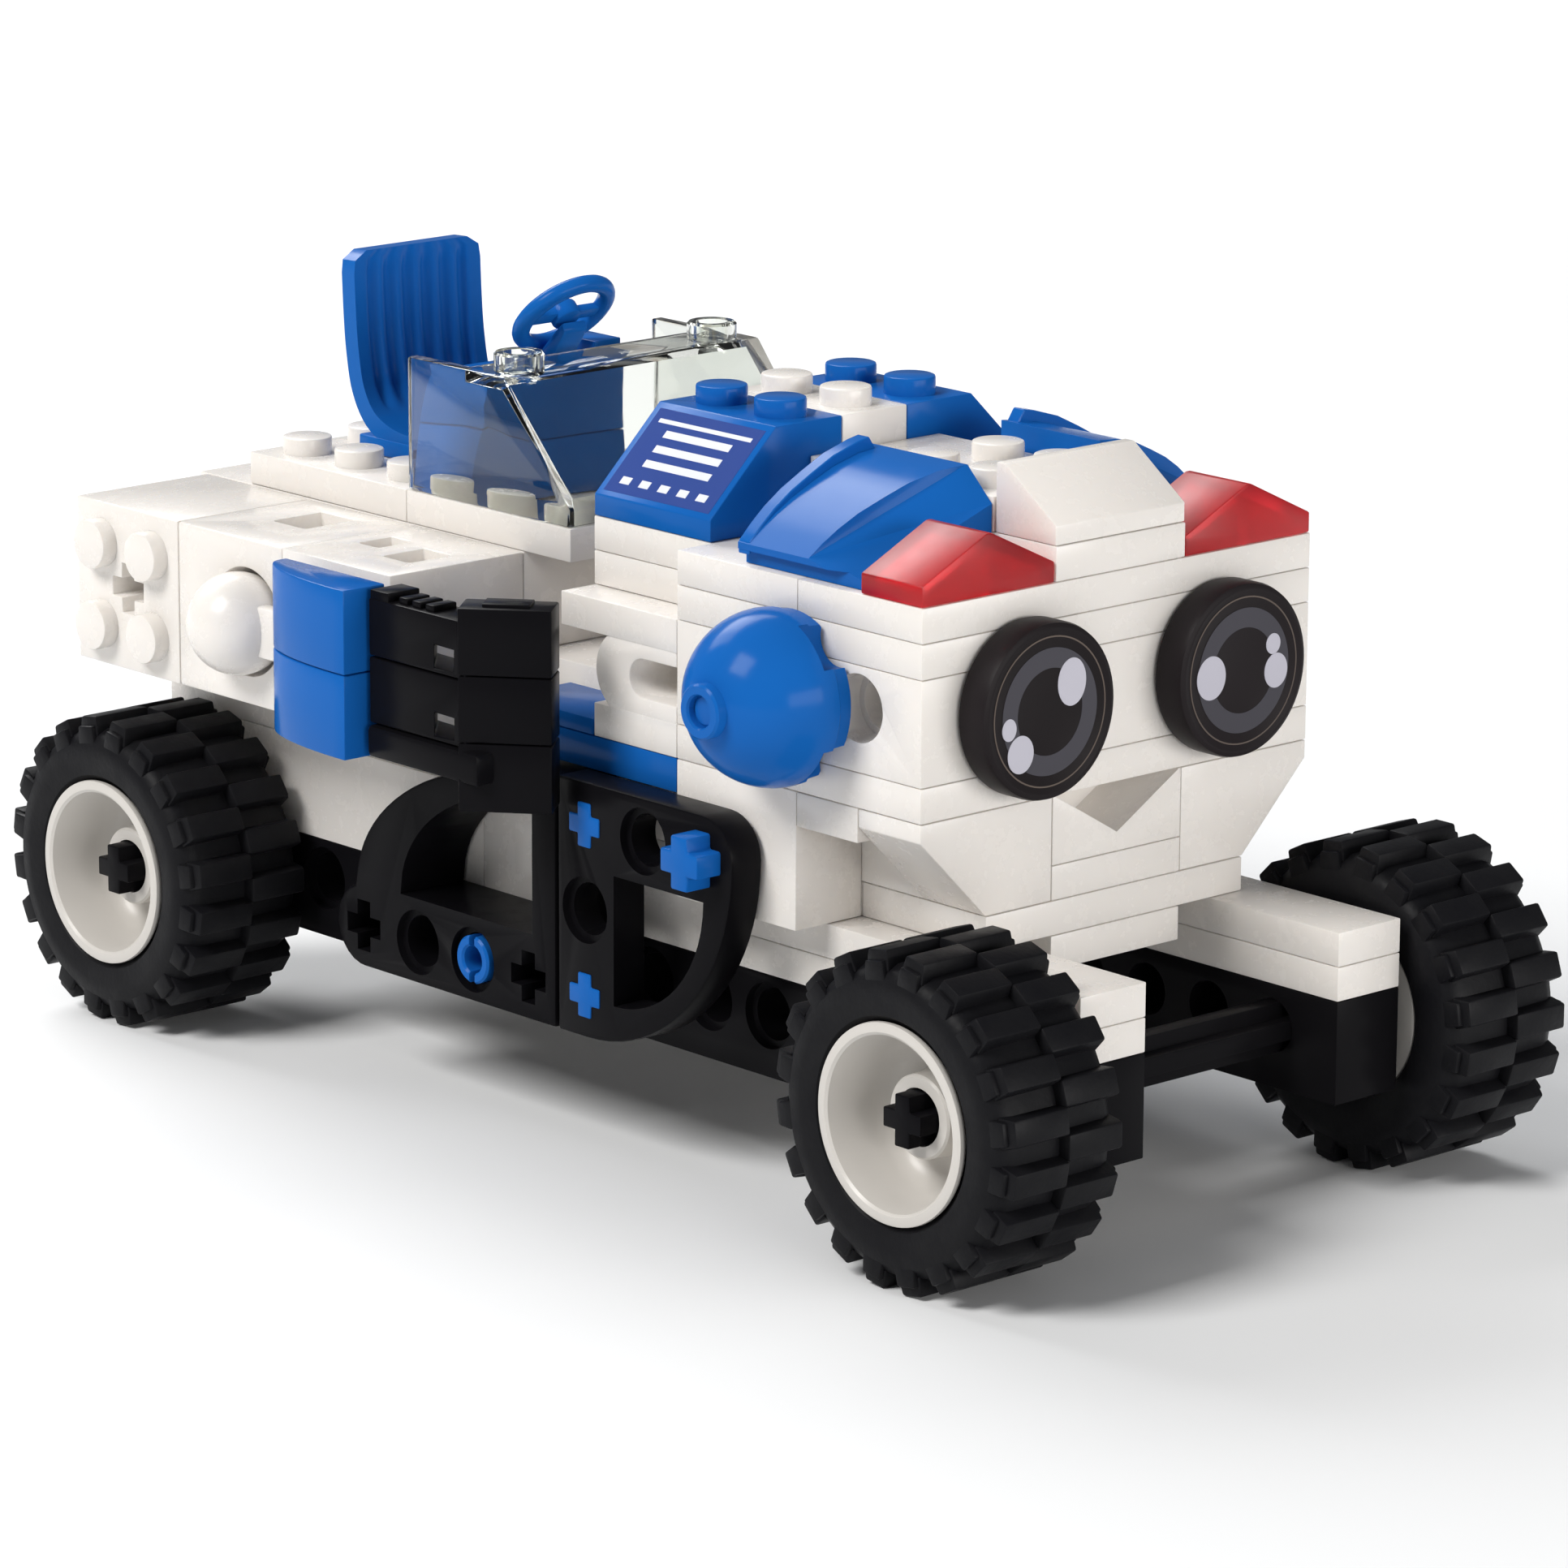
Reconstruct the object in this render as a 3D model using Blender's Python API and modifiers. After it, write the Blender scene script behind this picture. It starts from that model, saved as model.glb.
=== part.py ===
"""Brick-built toy robot car with a cartoon face, four balloon tyres and folding side arms.

Everything sits on an 8 mm by 3.2 mm building lattice. Lattice positions are in millimetres:
x runs to the right of someone facing the robot, y runs from the face towards the tail and
z runs up from the seam behind the eyes. `at` moves them into the final frame, in metres,
which stands on z = 0 with the wheelbase centred on the origin.
"""

import math

import bmesh
import bpy
from mathutils import Matrix, Vector

MM = 0.001

# Driving dimensions, in millimetres.
STUD = 8.0
PLATE = 3.2
BRICK = 9.6
STUD_RADIUS = 2.4
STUD_HEIGHT = 1.7
GAP = 0.15
AXLE_Y = (-8.0, 104.0)
AXLE_Z = -35.8
TYRE_RADIUS = 15.2
TYRE_HALF_WIDTH = 7.0
WHEEL_X = 28.0
RIM_RADIUS = 9.0
PIN_RADIUS = 2.5
AXLE_RADIUS = 2.2
WHEELBASE_CENTRE_Y = sum(AXLE_Y) / 2
GROUND_Z = AXLE_Z - TYRE_RADIUS
EYE_X = 12.0
EYE_Z = -3.9
EYE_RADIUS = 8.0
EAR_Y = 16.0
EAR_Z = -3.8
EAR_RADIUS = 8.0
SHOULDER = (33.0, 84.2, -8.0)
BALL_RADIUS = 4.9
ELBOW = (36.2, 58.4)
FRAME_PIN_Y = 56.0
STEERING_CENTRE = (0.0, 75.7, 18.8)
WHEEL_TILT = math.radians(45)

WHITE = (0.80, 0.79, 0.76)
BLUE = (0.02, 0.13, 0.55)
BLACK = (0.015, 0.015, 0.018)
RUBBER = (0.02, 0.02, 0.022)
RED = (0.65, 0.01, 0.03)
CLEAR = (0.80, 0.84, 0.82)


def clear_scene():
    for obj in list(bpy.data.objects):
        bpy.data.objects.remove(obj, do_unlink=True)


def new_collection(name, helpers=False):
    collection = bpy.data.collections.new(name)
    bpy.context.scene.collection.children.link(collection)
    collection.hide_render = helpers
    return collection


clear_scene()
PARTS = new_collection("brick_robot_car")
HELPERS = new_collection("cutters", helpers=True)


def at(x, y, z):
    """A lattice position in the final frame, in metres."""
    return Vector((x, y - WHEELBASE_CENTRE_Y, z - GROUND_Z)) * MM


def mesh_object(name, bm, collection, origin=None):
    """Makes an object of bm, whose vertices are lattice positions."""
    start = at(*origin) if origin else Vector((0.0, 0.0, 0.0))
    for vertex in bm.verts:
        vertex.co = at(*vertex.co) - start
    bmesh.ops.recalc_face_normals(bm, faces=bm.faces)
    if bm.calc_volume(signed=True) < 0:
        bmesh.ops.reverse_faces(bm, faces=bm.faces)
    mesh = bpy.data.meshes.new(name)
    bm.to_mesh(mesh)
    bm.free()
    obj = bpy.data.objects.new(name, mesh)
    obj.location = start
    collection.objects.link(obj)
    return obj


def paint(obj, colour, roughness=0.25, metallic=0.0, transmission=0.0):
    material = bpy.data.materials.new(obj.name + "_plastic")
    material.use_nodes = True
    shader = material.node_tree.nodes["Principled BSDF"]
    shader.inputs["Base Color"].default_value = (*colour, 1.0)
    shader.inputs["Roughness"].default_value = roughness
    shader.inputs["Metallic"].default_value = metallic
    shader.inputs["Transmission Weight"].default_value = transmission
    obj.data.materials.append(material)
    return obj


def evaluated_mesh(name, data, modify=None):
    """The bmesh that Blender makes of a curve, or of a mesh with a modifier, which is then removed."""
    guide = bpy.data.objects.new(name, data)
    HELPERS.objects.link(guide)
    if modify:
        modify(guide)
    graph = bpy.context.evaluated_depsgraph_get()
    mesh = bpy.data.meshes.new_from_object(guide.evaluated_get(graph))
    bm = bmesh.new()
    bm.from_mesh(mesh)
    bmesh.ops.remove_doubles(bm, verts=bm.verts, dist=1e-4)
    bpy.data.objects.remove(guide, do_unlink=True)
    bpy.data.meshes.remove(mesh)
    return bm


def prism_mesh(profile, axis, low, high):
    """A flat outline extruded along an axis. Its points are (y, z), (x, z) or (x, y)."""
    curve = bpy.data.curves.new("outline", "CURVE")
    curve.dimensions = "2D"
    curve.fill_mode = "BOTH"
    curve.extrude = (high - low) / 2
    spline = curve.splines.new("POLY")
    spline.points.add(len(profile) - 1)
    for point, place in zip(spline.points, profile):
        point.co = (*place, 0.0, 1.0)
    spline.use_cyclic_u = True
    bm = evaluated_mesh("outline", curve)
    for vertex in bm.verts:
        first, second, along = vertex.co
        along += (low + high) / 2
        if axis == "x":
            vertex.co = (along, first, second)
        elif axis == "y":
            vertex.co = (first, along, second)
        else:
            vertex.co = (first, second, along)
    return bm


def box_mesh(x, y, z):
    bm = bmesh.new()
    bmesh.ops.create_cube(bm, size=1.0)
    sizes = (x[1] - x[0], y[1] - y[0], z[1] - z[0])
    centre = Vector((x[0] + x[1], y[0] + y[1], z[0] + z[1])) / 2
    bmesh.ops.scale(bm, vec=sizes, verts=bm.verts)
    bmesh.ops.translate(bm, vec=centre, verts=bm.verts)
    return bm


def shrunk(extent, amount=GAP):
    return (extent[0] + amount, extent[1] - amount)


def brick_mesh(x, y, z):
    """A lattice box drawn in by the gap that bricks leave between them."""
    return box_mesh(shrunk(x), shrunk(y), shrunk(z))


AXIS_TURNS = {
    "x": Matrix.Rotation(math.radians(90), 3, "Y"),
    "y": Matrix.Rotation(math.radians(-90), 3, "X"),
    "z": Matrix.Identity(3),
}


def aligned(bm, axis, centre):
    """Turns a shape made about Z so that it lies along the axis, through the centre."""
    bmesh.ops.rotate(bm, matrix=AXIS_TURNS[axis], verts=bm.verts)
    bmesh.ops.translate(bm, vec=centre, verts=bm.verts)
    return bm


def turned_mesh(profile, axis, centre, steps, closed=False):
    """Turns (along, radius) points about an axis through centre. A closed profile makes a ring."""
    edges = [(i, i + 1) for i in range(len(profile) - 1)]
    if closed:
        edges.append((len(profile) - 1, 0))
    line = bpy.data.meshes.new("profile")
    line.from_pydata([(radius, 0.0, along) for along, radius in profile], edges, [])

    def screw(guide):
        modifier = guide.modifiers.new("Turn", "SCREW")
        modifier.axis = "Z"
        modifier.steps = steps
        modifier.render_steps = steps
        modifier.use_merge_vertices = True
        modifier.merge_threshold = 1e-4

    return aligned(evaluated_mesh("profile", line, screw), axis, centre)


def cylinder_mesh(axis, centre, radius, low, high, steps=16):
    bm = bmesh.new()
    bmesh.ops.create_cone(
        bm, cap_ends=True, segments=steps, radius1=radius, radius2=radius, depth=high - low
    )
    bmesh.ops.translate(bm, vec=(0.0, 0.0, (low + high) / 2), verts=bm.verts)
    return aligned(bm, axis, centre)


def ball_mesh(centre, radius, steps=16):
    bm = bmesh.new()
    bmesh.ops.create_uvsphere(bm, u_segments=steps, v_segments=steps * 5 // 8, radius=radius)
    bmesh.ops.translate(bm, vec=centre, verts=bm.verts)
    return bm


def combine(obj, bm, operation):
    """Joins bm to the object, or cuts it away, with a Boolean modifier."""
    name = f"{obj.name}_{operation.lower()}_{len(obj.modifiers)}"
    helper = mesh_object(name, bm, HELPERS)
    helper.hide_render = True
    helper.display_type = "WIRE"
    modifier = obj.modifiers.new(operation.title(), "BOOLEAN")
    modifier.operation = operation
    modifier.solver = "EXACT"
    modifier.object = helper
    return obj


def join(obj, bm):
    return combine(obj, bm, "UNION")


def cut(obj, bm):
    return combine(obj, bm, "DIFFERENCE")


def add_studs(obj, places, top, axis="z", steps=12):
    """Joins studs, each a cylinder rooted half a millimetre inside the object."""
    for place in places:
        low, high = sorted((-0.5, STUD_HEIGHT))
        if axis == "z":
            centre = (place[0], place[1], top)
            stud = cylinder_mesh("z", centre, STUD_RADIUS, low, high, steps)
        else:
            centre = (top, place[0], place[1])
            out = -1.0 if top < 0 else 1.0
            low, high = sorted((-0.5 * out, STUD_HEIGHT * out))
            stud = cylinder_mesh("x", centre, STUD_RADIUS, low, high, steps)
        join(obj, stud)
    return obj


def span(side, low, high):
    """An x range on one side: side is -1 for the left, 1 for the right."""
    return tuple(sorted((side * low, side * high)))


def mirrored(side, profile):
    return tuple((side * first, second) for first, second in profile)


def arc(centre, radii, start, end, steps):
    """Points of an elliptical arc, both ends included, in degrees."""
    points = []
    for i in range(steps + 1):
        angle = math.radians(start + (end - start) * i / steps)
        first = centre[0] + radii[0] * math.cos(angle)
        second = centre[1] + radii[1] * math.sin(angle)
        points.append((first, second))
    return points


# Chassis: two drilled beams, and the cross-shaped axles that run through their end holes.
BEAM_TOP = -32.0
BEAM_HOLES = (-8.0, 8.0, 24.0, 88.0, 104.0)


def add_beam(name, side):
    bm = brick_mesh(span(side, 12, 20), (-16, 112), (BEAM_TOP - BRICK, BEAM_TOP))
    obj = mesh_object(name, bm, PARTS)
    for hole_y in BEAM_HOLES:
        centre = (side * 16, hole_y, AXLE_Z)
        cut(obj, cylinder_mesh("x", centre, PIN_RADIUS, -6, 6, 14))
    return paint(obj, BLACK, 0.3)


def cross_profile(centre, reach, half_width):
    a, b = centre
    r, w = reach, half_width
    corners = ((w, -r), (w, -w), (r, -w), (r, w), (w, w), (w, r))
    corners += ((-w, r), (-w, w), (-r, w), (-r, -w), (-w, -w), (-w, -r))
    return [(a + first, b + second) for first, second in corners]


def add_axle(name, axle_y):
    profile = cross_profile((axle_y, AXLE_Z), AXLE_RADIUS, 0.85)
    bm = prism_mesh(profile, "x", -33.5, 33.5)
    return paint(mesh_object(name, bm, PARTS, (0, axle_y, AXLE_Z)), BLACK, 0.3)


# Axial places run outwards from the wheel's middle plane; both profiles are closed rings.
RIM_PROFILE = (
    (-6.2, 2.6),
    (-6.2, 8.2),
    (6.3, 8.2),
    (6.4, RIM_RADIUS),
    (7.0, RIM_RADIUS),
    (7.0, 8.0),
    (2.0, 7.2),
    (0.2, 5.6),
    (0.2, 4.0),
    (3.4, 3.8),
    (3.4, 2.6),
)
TYRE_PROFILE = (
    (-6.4, 8.5),
    (6.0, 8.5),
    (6.1, 9.3),
    (6.8, 9.6),
    (TYRE_HALF_WIDTH, 11.5),
    (6.7, 13.9),
    (5.4, TYRE_RADIUS),
    (-5.4, TYRE_RADIUS),
    (-6.7, 13.9),
    (-TYRE_HALF_WIDTH, 11.5),
    (-6.8, 9.6),
)


def add_wheel(name, side, axle_y):
    centre = (side * WHEEL_X, axle_y, AXLE_Z)
    rim_profile = [(side * along, radius) for along, radius in RIM_PROFILE]
    tyre_profile = [(side * along, radius) for along, radius in TYRE_PROFILE]
    rim = turned_mesh(rim_profile, "x", centre, 20, closed=True)
    paint(mesh_object("rim_" + name, rim, PARTS, centre), WHITE, 0.25)
    tyre = turned_mesh(tyre_profile, "x", centre, 28, closed=True)
    paint(mesh_object("tyre_" + name, tyre, PARTS, centre), RUBBER, 0.7)


# Body: a low hull, the deck that carries the cab, and the hood block.
HOOD_TOP = 2 * PLATE + BRICK - GAP


def add_body():
    lower = brick_mesh((-20, 20), (32, 112), (-32, -16))
    obj = mesh_object("lower_body", lower, PARTS)
    paint(obj, WHITE)
    obj = mesh_object("deck", brick_mesh((-16, 16), (32, 112), (-16, 0)), PARTS)
    cut(obj, box_mesh((-18, 18), (48, 62.6), (-9.6, 2)))
    paint(obj, WHITE)
    obj = mesh_object("hood_base", brick_mesh((-20, 20), (32, 48), (0, 2 * PLATE)), PARTS)
    join(obj, box_mesh((-3.85, 3.85), (32.15, 47.85), (5, HOOD_TOP)))
    add_studs(obj, ((0, 36), (0, 44)), HOOD_TOP)
    paint(obj, WHITE)


def add_hood_slope(name, side):
    bottom = 2 * PLATE + GAP
    top = HOOD_TOP
    inner, outer = 4 + GAP, 20 - GAP
    profile = ((outer, bottom), (outer, bottom + 1.8), (12, top), (inner, top), (inner, bottom))
    low, high = shrunk((32, 48))
    obj = mesh_object(name, prism_mesh(mirrored(side, profile), "y", low, high), PARTS)
    add_studs(obj, ((side * 8, 36), (side * 8, 44)), top)
    return paint(obj, BLUE)


# Head: a block with chamfered corners low on its face, a recess behind each, and a V-shaped mouth.
HEAD_TOP = 2 * PLATE
JAW_Z = -12.8
JAW_BOTTOM = -22.4
HEAD_BOTTOM = JAW_BOTTOM - PLATE


def add_head():
    obj = mesh_object("head", brick_mesh((-24, 24), (0, 32), (HEAD_BOTTOM, HEAD_TOP)), PARTS)
    cut(obj, box_mesh((-16, 16), (-2, 34), (HEAD_BOTTOM - 2, JAW_BOTTOM)))
    for side in (-1, 1):
        below = HEAD_BOTTOM - 2
        corner = ((15.9, below), (26, below), (26, -14.6), (24, -14.6), (15.9, JAW_BOTTOM))
        cut(obj, prism_mesh(mirrored(side, corner), "y", -2, STUD))
        cut(obj, box_mesh(span(side, 15.9, 26), (STUD - 0.01, 2 * STUD), (HEAD_BOTTOM - 2, -16)))
        hole = (side * 22, STUD, EAR_Z)
        cut(obj, cylinder_mesh("x", hole, 3.1, -4, 4, 16))
        pin = (side * 22, EAR_Y, EAR_Z)
        cut(obj, cylinder_mesh("x", pin, PIN_RADIUS, -6, 6, 14))
    mouth = ((-7.8, JAW_Z), (0, -17.2), (7.8, JAW_Z))
    cut(obj, prism_mesh(mouth, "y", -2, 7))
    return paint(obj, WHITE)


def add_jaw():
    """The plates under the head, stepping in towards the chin."""
    obj = mesh_object("jaw", brick_mesh((-15.9, 15.9), (0, 32), (HEAD_BOTTOM, JAW_BOTTOM)), PARTS)
    join(obj, box_mesh((-7.85, 7.85), (0.3, 31), (HEAD_BOTTOM - PLATE + GAP, HEAD_BOTTOM + 1)))
    return paint(obj, WHITE)


def add_fender(name, side):
    low, high = BEAM_TOP, BEAM_TOP + 2 * PLATE
    bm = brick_mesh(span(side, 12, 20), (-16, 32), (low, high))
    return paint(mesh_object(name, bm, PARTS), WHITE)


def add_eye(name, side):
    centre = (side * EYE_X, 0, EYE_Z)
    profile = ((-0.3, 0.0), (-0.3, 7.6), (-0.7, EYE_RADIUS), (-3.5, EYE_RADIUS), (-3.8, 7.7), (-3.8, 0.0))
    bm = turned_mesh(profile, "y", centre, 28)
    return paint(mesh_object(name, bm, PARTS, centre), BLACK, 0.2)


def add_ear(name, side):
    """A dome on the side of the head, with a hollow stud at its tip and a pin into the head."""
    centre = (side * 24, EAR_Y, EAR_Z)
    dome = [(0.3, 0.0), (0.3, 7.6), (2.9, EAR_RADIUS)]
    dome += [(2.9 + y, x) for x, y in arc((0, 0), (EAR_RADIUS, 7.9), 15, 75, 5)]
    dome += [(10.8, 1.5), (10.8, 0.0)]
    profile = [(side * along, radius) for along, radius in dome]
    obj = mesh_object(name, turned_mesh(profile, "x", centre, 22), PARTS, centre)
    stud = [(9.4, 0.0), (9.4, STUD_RADIUS), (11.5, STUD_RADIUS), (11.5, 1.4), (10.6, 1.4), (10.6, 0.0)]
    stud = [(side * along, radius) for along, radius in stud]
    join(obj, turned_mesh(stud, "x", centre, 14))
    low, high = sorted((-side * 6.5, side * 1.5))
    join(obj, cylinder_mesh("x", centre, 2.2, low, high, 12))
    return paint(obj, BLUE)


BROW_CURVE = ((23.85, 8.4), (21.0, 10.7), (16.6, 13.0), (12.5, 14.5), (8.15, 15.2))
BROW_FACET = ((7.5, 8.1, 12.2), (24.5, 8.1, 6.7), (24.5, 14.7, 8.3), (7.5, 11.3, 15.4))


def add_brow(name, side):
    """A curved slope that rises towards the middle of the head, with a front edge that leans back."""
    low = HEAD_TOP + GAP
    begin, end = shrunk((8, 24))
    profile = ((8.15, low), (23.85, low)) + BROW_CURVE
    obj = mesh_object(name, prism_mesh(mirrored(side, profile), "y", begin, end), PARTS)
    corners = [(side * x, y, z) for x, y, z in BROW_FACET]
    corners += [(x, y, 25) for x, y, z in corners] + [(x, 5, z) for x, y, z in corners]
    wedge = bmesh.new()
    for corner in corners:
        wedge.verts.new(corner)
    bmesh.ops.convex_hull(wedge, input=wedge.verts)
    cut(obj, wedge)
    return paint(obj, BLUE)


def add_lamp(name, side):
    """A clear red roof-shaped slope over the eye."""
    low = HEAD_TOP + GAP
    eaves, ridge = low + 1.8, low + 5.5
    profile = ((8.15, low), (23.85, low), (23.85, eaves), (16.3, ridge), (15.7, ridge), (8.15, eaves))
    begin, end = shrunk((0, 8))
    bm = prism_mesh(mirrored(side, profile), "y", begin, end)
    return paint(mesh_object(name, bm, PARTS), RED, 0.1, transmission=0.8)


def add_crown():
    """The plates in the middle of the head's top, and the small slope over the nose."""
    obj = mesh_object("crown", brick_mesh((-8, 8), (8, 32), (HEAD_TOP, HEAD_TOP + 2 * PLATE)), PARTS)
    join(obj, box_mesh((-7.85, 7.85), (0.15, 9), (HEAD_TOP + GAP, HEAD_TOP + PLATE - GAP)))
    add_studs(obj, [(x, y) for x in (-4, 4) for y in (12, 20)], HEAD_TOP + 2 * PLATE - GAP)
    paint(obj, WHITE)
    low = HEAD_TOP + PLATE + GAP
    high = HEAD_TOP + 3 * PLATE - GAP
    profile = ((0.15, low), (7.7, low), (7.7, high), (6.9, high), (0.15, low + 1.6))
    paint(mesh_object("nose_slope", prism_mesh(profile, "x", -7.85, 7.85), PARTS), WHITE)


# Cab: deck plate, windscreen, console with its steering wheel, and the seat.
CAB_FLOOR = PLATE
SCREEN_TOP = CAB_FLOOR + 4 * PLATE


def add_cab():
    obj = mesh_object("cab_plate", brick_mesh((-16, 16), (56, 104), (0, CAB_FLOOR)), PARTS)
    places = [(x, y) for x in (-12, 12) for y in (60, 68, 76, 84, 92, 100)]
    add_studs(obj, places, CAB_FLOOR - GAP, steps=10)
    add_studs(obj, ((-4, 100), (4, 100)), CAB_FLOOR - GAP, steps=10)
    paint(obj, WHITE)


def add_windscreen():
    """A shell: sloping glass in front, a bar with two studs on top, and a cheek each side."""
    low = CAB_FLOOR + GAP
    outer = ((56.15, low), (79.85, low), (79.85, SCREEN_TOP), (65.6, SCREEN_TOP), (56.15, low + 1.8))
    obj = mesh_object("windscreen", prism_mesh(outer, "x", -15.85, 15.85), PARTS)
    room = ((57.3, low - 2), (82, low - 2), (82, SCREEN_TOP + 2), (72, SCREEN_TOP + 2))
    room += ((72, 14.4), (66.3, 14.4), (57.3, low + 2.2))
    cut(obj, prism_mesh(room, "x", -14.5, 14.5))
    add_studs(obj, ((-12, 68), (12, 68)), SCREEN_TOP)
    return paint(obj, CLEAR, 0.05, transmission=0.9)


def add_console():
    low = CAB_FLOOR + GAP
    obj = mesh_object("console", box_mesh((-7.9, 7.9), (76.6, 83.6), (low, 13.4)), PARTS)
    join(obj, box_mesh((4.6, 7.8), (76.8, 83.4), (13.0, 15.4)))
    stem = ((76.7, 12.9), (78.9, 12.9), (78.0, 14.6), (75.5, 17.1), (74.2, 18.4), (73.7, 17.4))
    join(obj, prism_mesh(stem, "x", -1.6, 1.6))
    return paint(obj, BLUE)


def add_steering_wheel():
    """A ring with a centre bar and a hub, tipped back towards the seat."""
    centre = Vector(STEERING_CENTRE)
    tilt = Vector((0.0, math.sin(WHEEL_TILT), math.cos(WHEEL_TILT)))
    across = Vector((0.0, math.cos(WHEEL_TILT), -math.sin(WHEEL_TILT)))

    def tipped(bm):
        for vertex in bm.verts:
            place = vertex.co.copy()
            vertex.co = centre + Vector((place.x, 0, 0)) + across * place.y + tilt * place.z
        return bm

    turns = [i * math.pi / 3 for i in range(6)]
    section = [(0.85 * math.cos(turn), 4.6 + 0.85 * math.sin(turn)) for turn in turns]
    ring = turned_mesh(section, "z", (0, 0, 0), 20, closed=True)
    obj = mesh_object("steering_wheel", tipped(ring), PARTS, tuple(centre))
    join(obj, tipped(box_mesh((-4.6, 4.6), (-0.8, 0.8), (-0.5, 0.4))))
    join(obj, tipped(cylinder_mesh("z", (0, 0, 0), 1.3, -0.9, 0.8, 10)))
    return paint(obj, BLUE)


def add_seat():
    low = CAB_FLOOR + GAP
    outline = [(84.2, low), (97.2, low), (97.4, 5.2), (99.0, 8.0), (99.6, 14), (99.8, 22.6)]
    outline += [(97.9, 22.6), (97.4, 14.5), (96.6, 9.8), (94.8, 7.2), (91.6, 5.8), (84.2, 5.5)]
    bm = prism_mesh(outline, "x", -7.9, 7.9)
    return paint(mesh_object("seat", bm, PARTS), BLUE)


# Shoulders: three blocks on each side of the deck; the last carries studs on its outer face.
BLOCK_Y = (62.7, 78.7, 94.7, 110.7)


def add_shoulder(name, side):
    def block(kind, begin, end):
        bm = brick_mesh(span(side, 16, 32), (begin, end), (-16, 0))
        return mesh_object(f"shoulder_{kind}_{name}", bm, PARTS)

    paint(block("front", BLOCK_Y[0], BLOCK_Y[1]), WHITE)
    socket = block("socket", BLOCK_Y[1], BLOCK_Y[2])
    ball_x, ball_y, ball_z = SHOULDER
    cut(socket, ball_mesh((side * ball_x, ball_y, ball_z), BALL_RADIUS + 0.5))
    paint(socket, WHITE)
    rear = block("rear", BLOCK_Y[2], BLOCK_Y[3])
    middle = (BLOCK_Y[2] + BLOCK_Y[3]) / 2
    places = [(y, z) for y in (middle - 4, middle + 4) for z in (-4, -12)]
    add_studs(rear, places, side * (32 - GAP), axis="x")
    for half_y, half_z in ((2.4, 0.9), (0.9, 2.4)):
        slot = box_mesh(span(side, 26, 34), (middle - half_y, middle + half_y), (-8 - half_z, -8 + half_z))
        cut(rear, slot)
    return paint(rear, WHITE)


LOOP = (39.3, -6.3)
LOOP_RADIUS = 4.0


def add_side_loop(name, side):
    """A plate behind the head over a round-ended bar with a long opening, and the blue bricks below."""
    y, z = LOOP
    obj = mesh_object("side_loop_" + name, brick_mesh(span(side, 16, 24), (32, 48), (-3.2, 0)), PARTS)
    outline = [(32.4, z - 6), (y + LOOP_RADIUS, z - 6)]
    outline += arc(LOOP, (LOOP_RADIUS, LOOP_RADIUS), 0, 90, 6) + [(32.4, z + LOOP_RADIUS)]
    join(obj, prism_mesh(outline, "x", *span(side, 16.2, 23.8)))
    cut(obj, box_mesh(span(side, 17.5, 26), (30, y - 0.8), (z - 1.75, z + 1.75)))
    paint(obj, WHITE)
    bricks = mesh_object("side_brick_" + name, brick_mesh(span(side, 16, 24), (32, 56), (-16, -12.8)), PARTS)
    join(bricks, box_mesh(span(side, 16.15, 23.85), (43.7, 55.85), (-14, -11.2)))
    return paint(bricks, BLUE)


# Arms: a ball link, two blue curved slopes, a black hinge stack, and its turned end column.
ARM_OUT = 39.1
COLUMN = (32.6, 44.4)
COLUMN_HALVES = (4.2, 2.1)
COLUMN_TURN = math.radians(-50)


def add_arm(name, side):
    ball_x, ball_y, ball_z = SHOULDER
    centre = (side * ball_x, ball_y, ball_z)
    link = mesh_object("arm_link_" + name, ball_mesh(centre, BALL_RADIUS), PARTS, centre)
    join(link, box_mesh(span(side, 32.4, 34.0), (62, 81), (-10.5, -5.5)))
    paint(link, WHITE)
    curve = arc((60.6, 35.2), (14.6, 3.9), 0, 90, 6)
    profile = [(34.3, 60.6), (34.3, 75.2)] + [(x, y) for y, x in curve[:-1]] + [(ARM_OUT, 60.6)]
    armour = prism_mesh(mirrored(side, profile), "z", -15.85, -0.15)
    paint(mesh_object("arm_armour_" + name, armour, PARTS), BLUE)


def add_forearm(name, side):
    elbow_x, elbow_y = ELBOW
    origin = (side * elbow_x, elbow_y, -8.0)
    body = box_mesh(span(side, 32.6, 36.6), (46.2, 60.2), (-15.85, -0.15))
    obj = mesh_object("forearm_" + name, body, PARTS, origin)
    for low in (-6.2, -12.4):
        slant = ((38.0, 46.4), (38.0, 49.2), (31.6, 56.3), (31.6, 53.5))
        cut(obj, prism_mesh(mirrored(side, slant), "z", low + 0.5, low + 2.6))
    along = Vector((-math.cos(COLUMN_TURN), math.sin(COLUMN_TURN))) * COLUMN_HALVES[0]
    deep = Vector((along.y, -along.x)) * (COLUMN_HALVES[1] / COLUMN_HALVES[0])
    column = []
    for first, second in ((-1, -1), (1, -1), (1, 1), (-1, 1)):
        column.append(tuple(Vector(COLUMN) + along * first + deep * second))
    join(obj, prism_mesh(mirrored(side, column), "z", -18.4, 0.4))
    return paint(obj, BLACK, 0.3)


# Side frames: flat quarter-round panels pinned to the chassis beams.
FRAME_OUT = 28.0


def panel(outer, inner, side, low, high):
    shape = prism_mesh(outer, "x", *span(side, low, high))
    hollow = prism_mesh(inner, "x", *span(side, low - 2, high + 2))
    return shape, hollow


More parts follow.
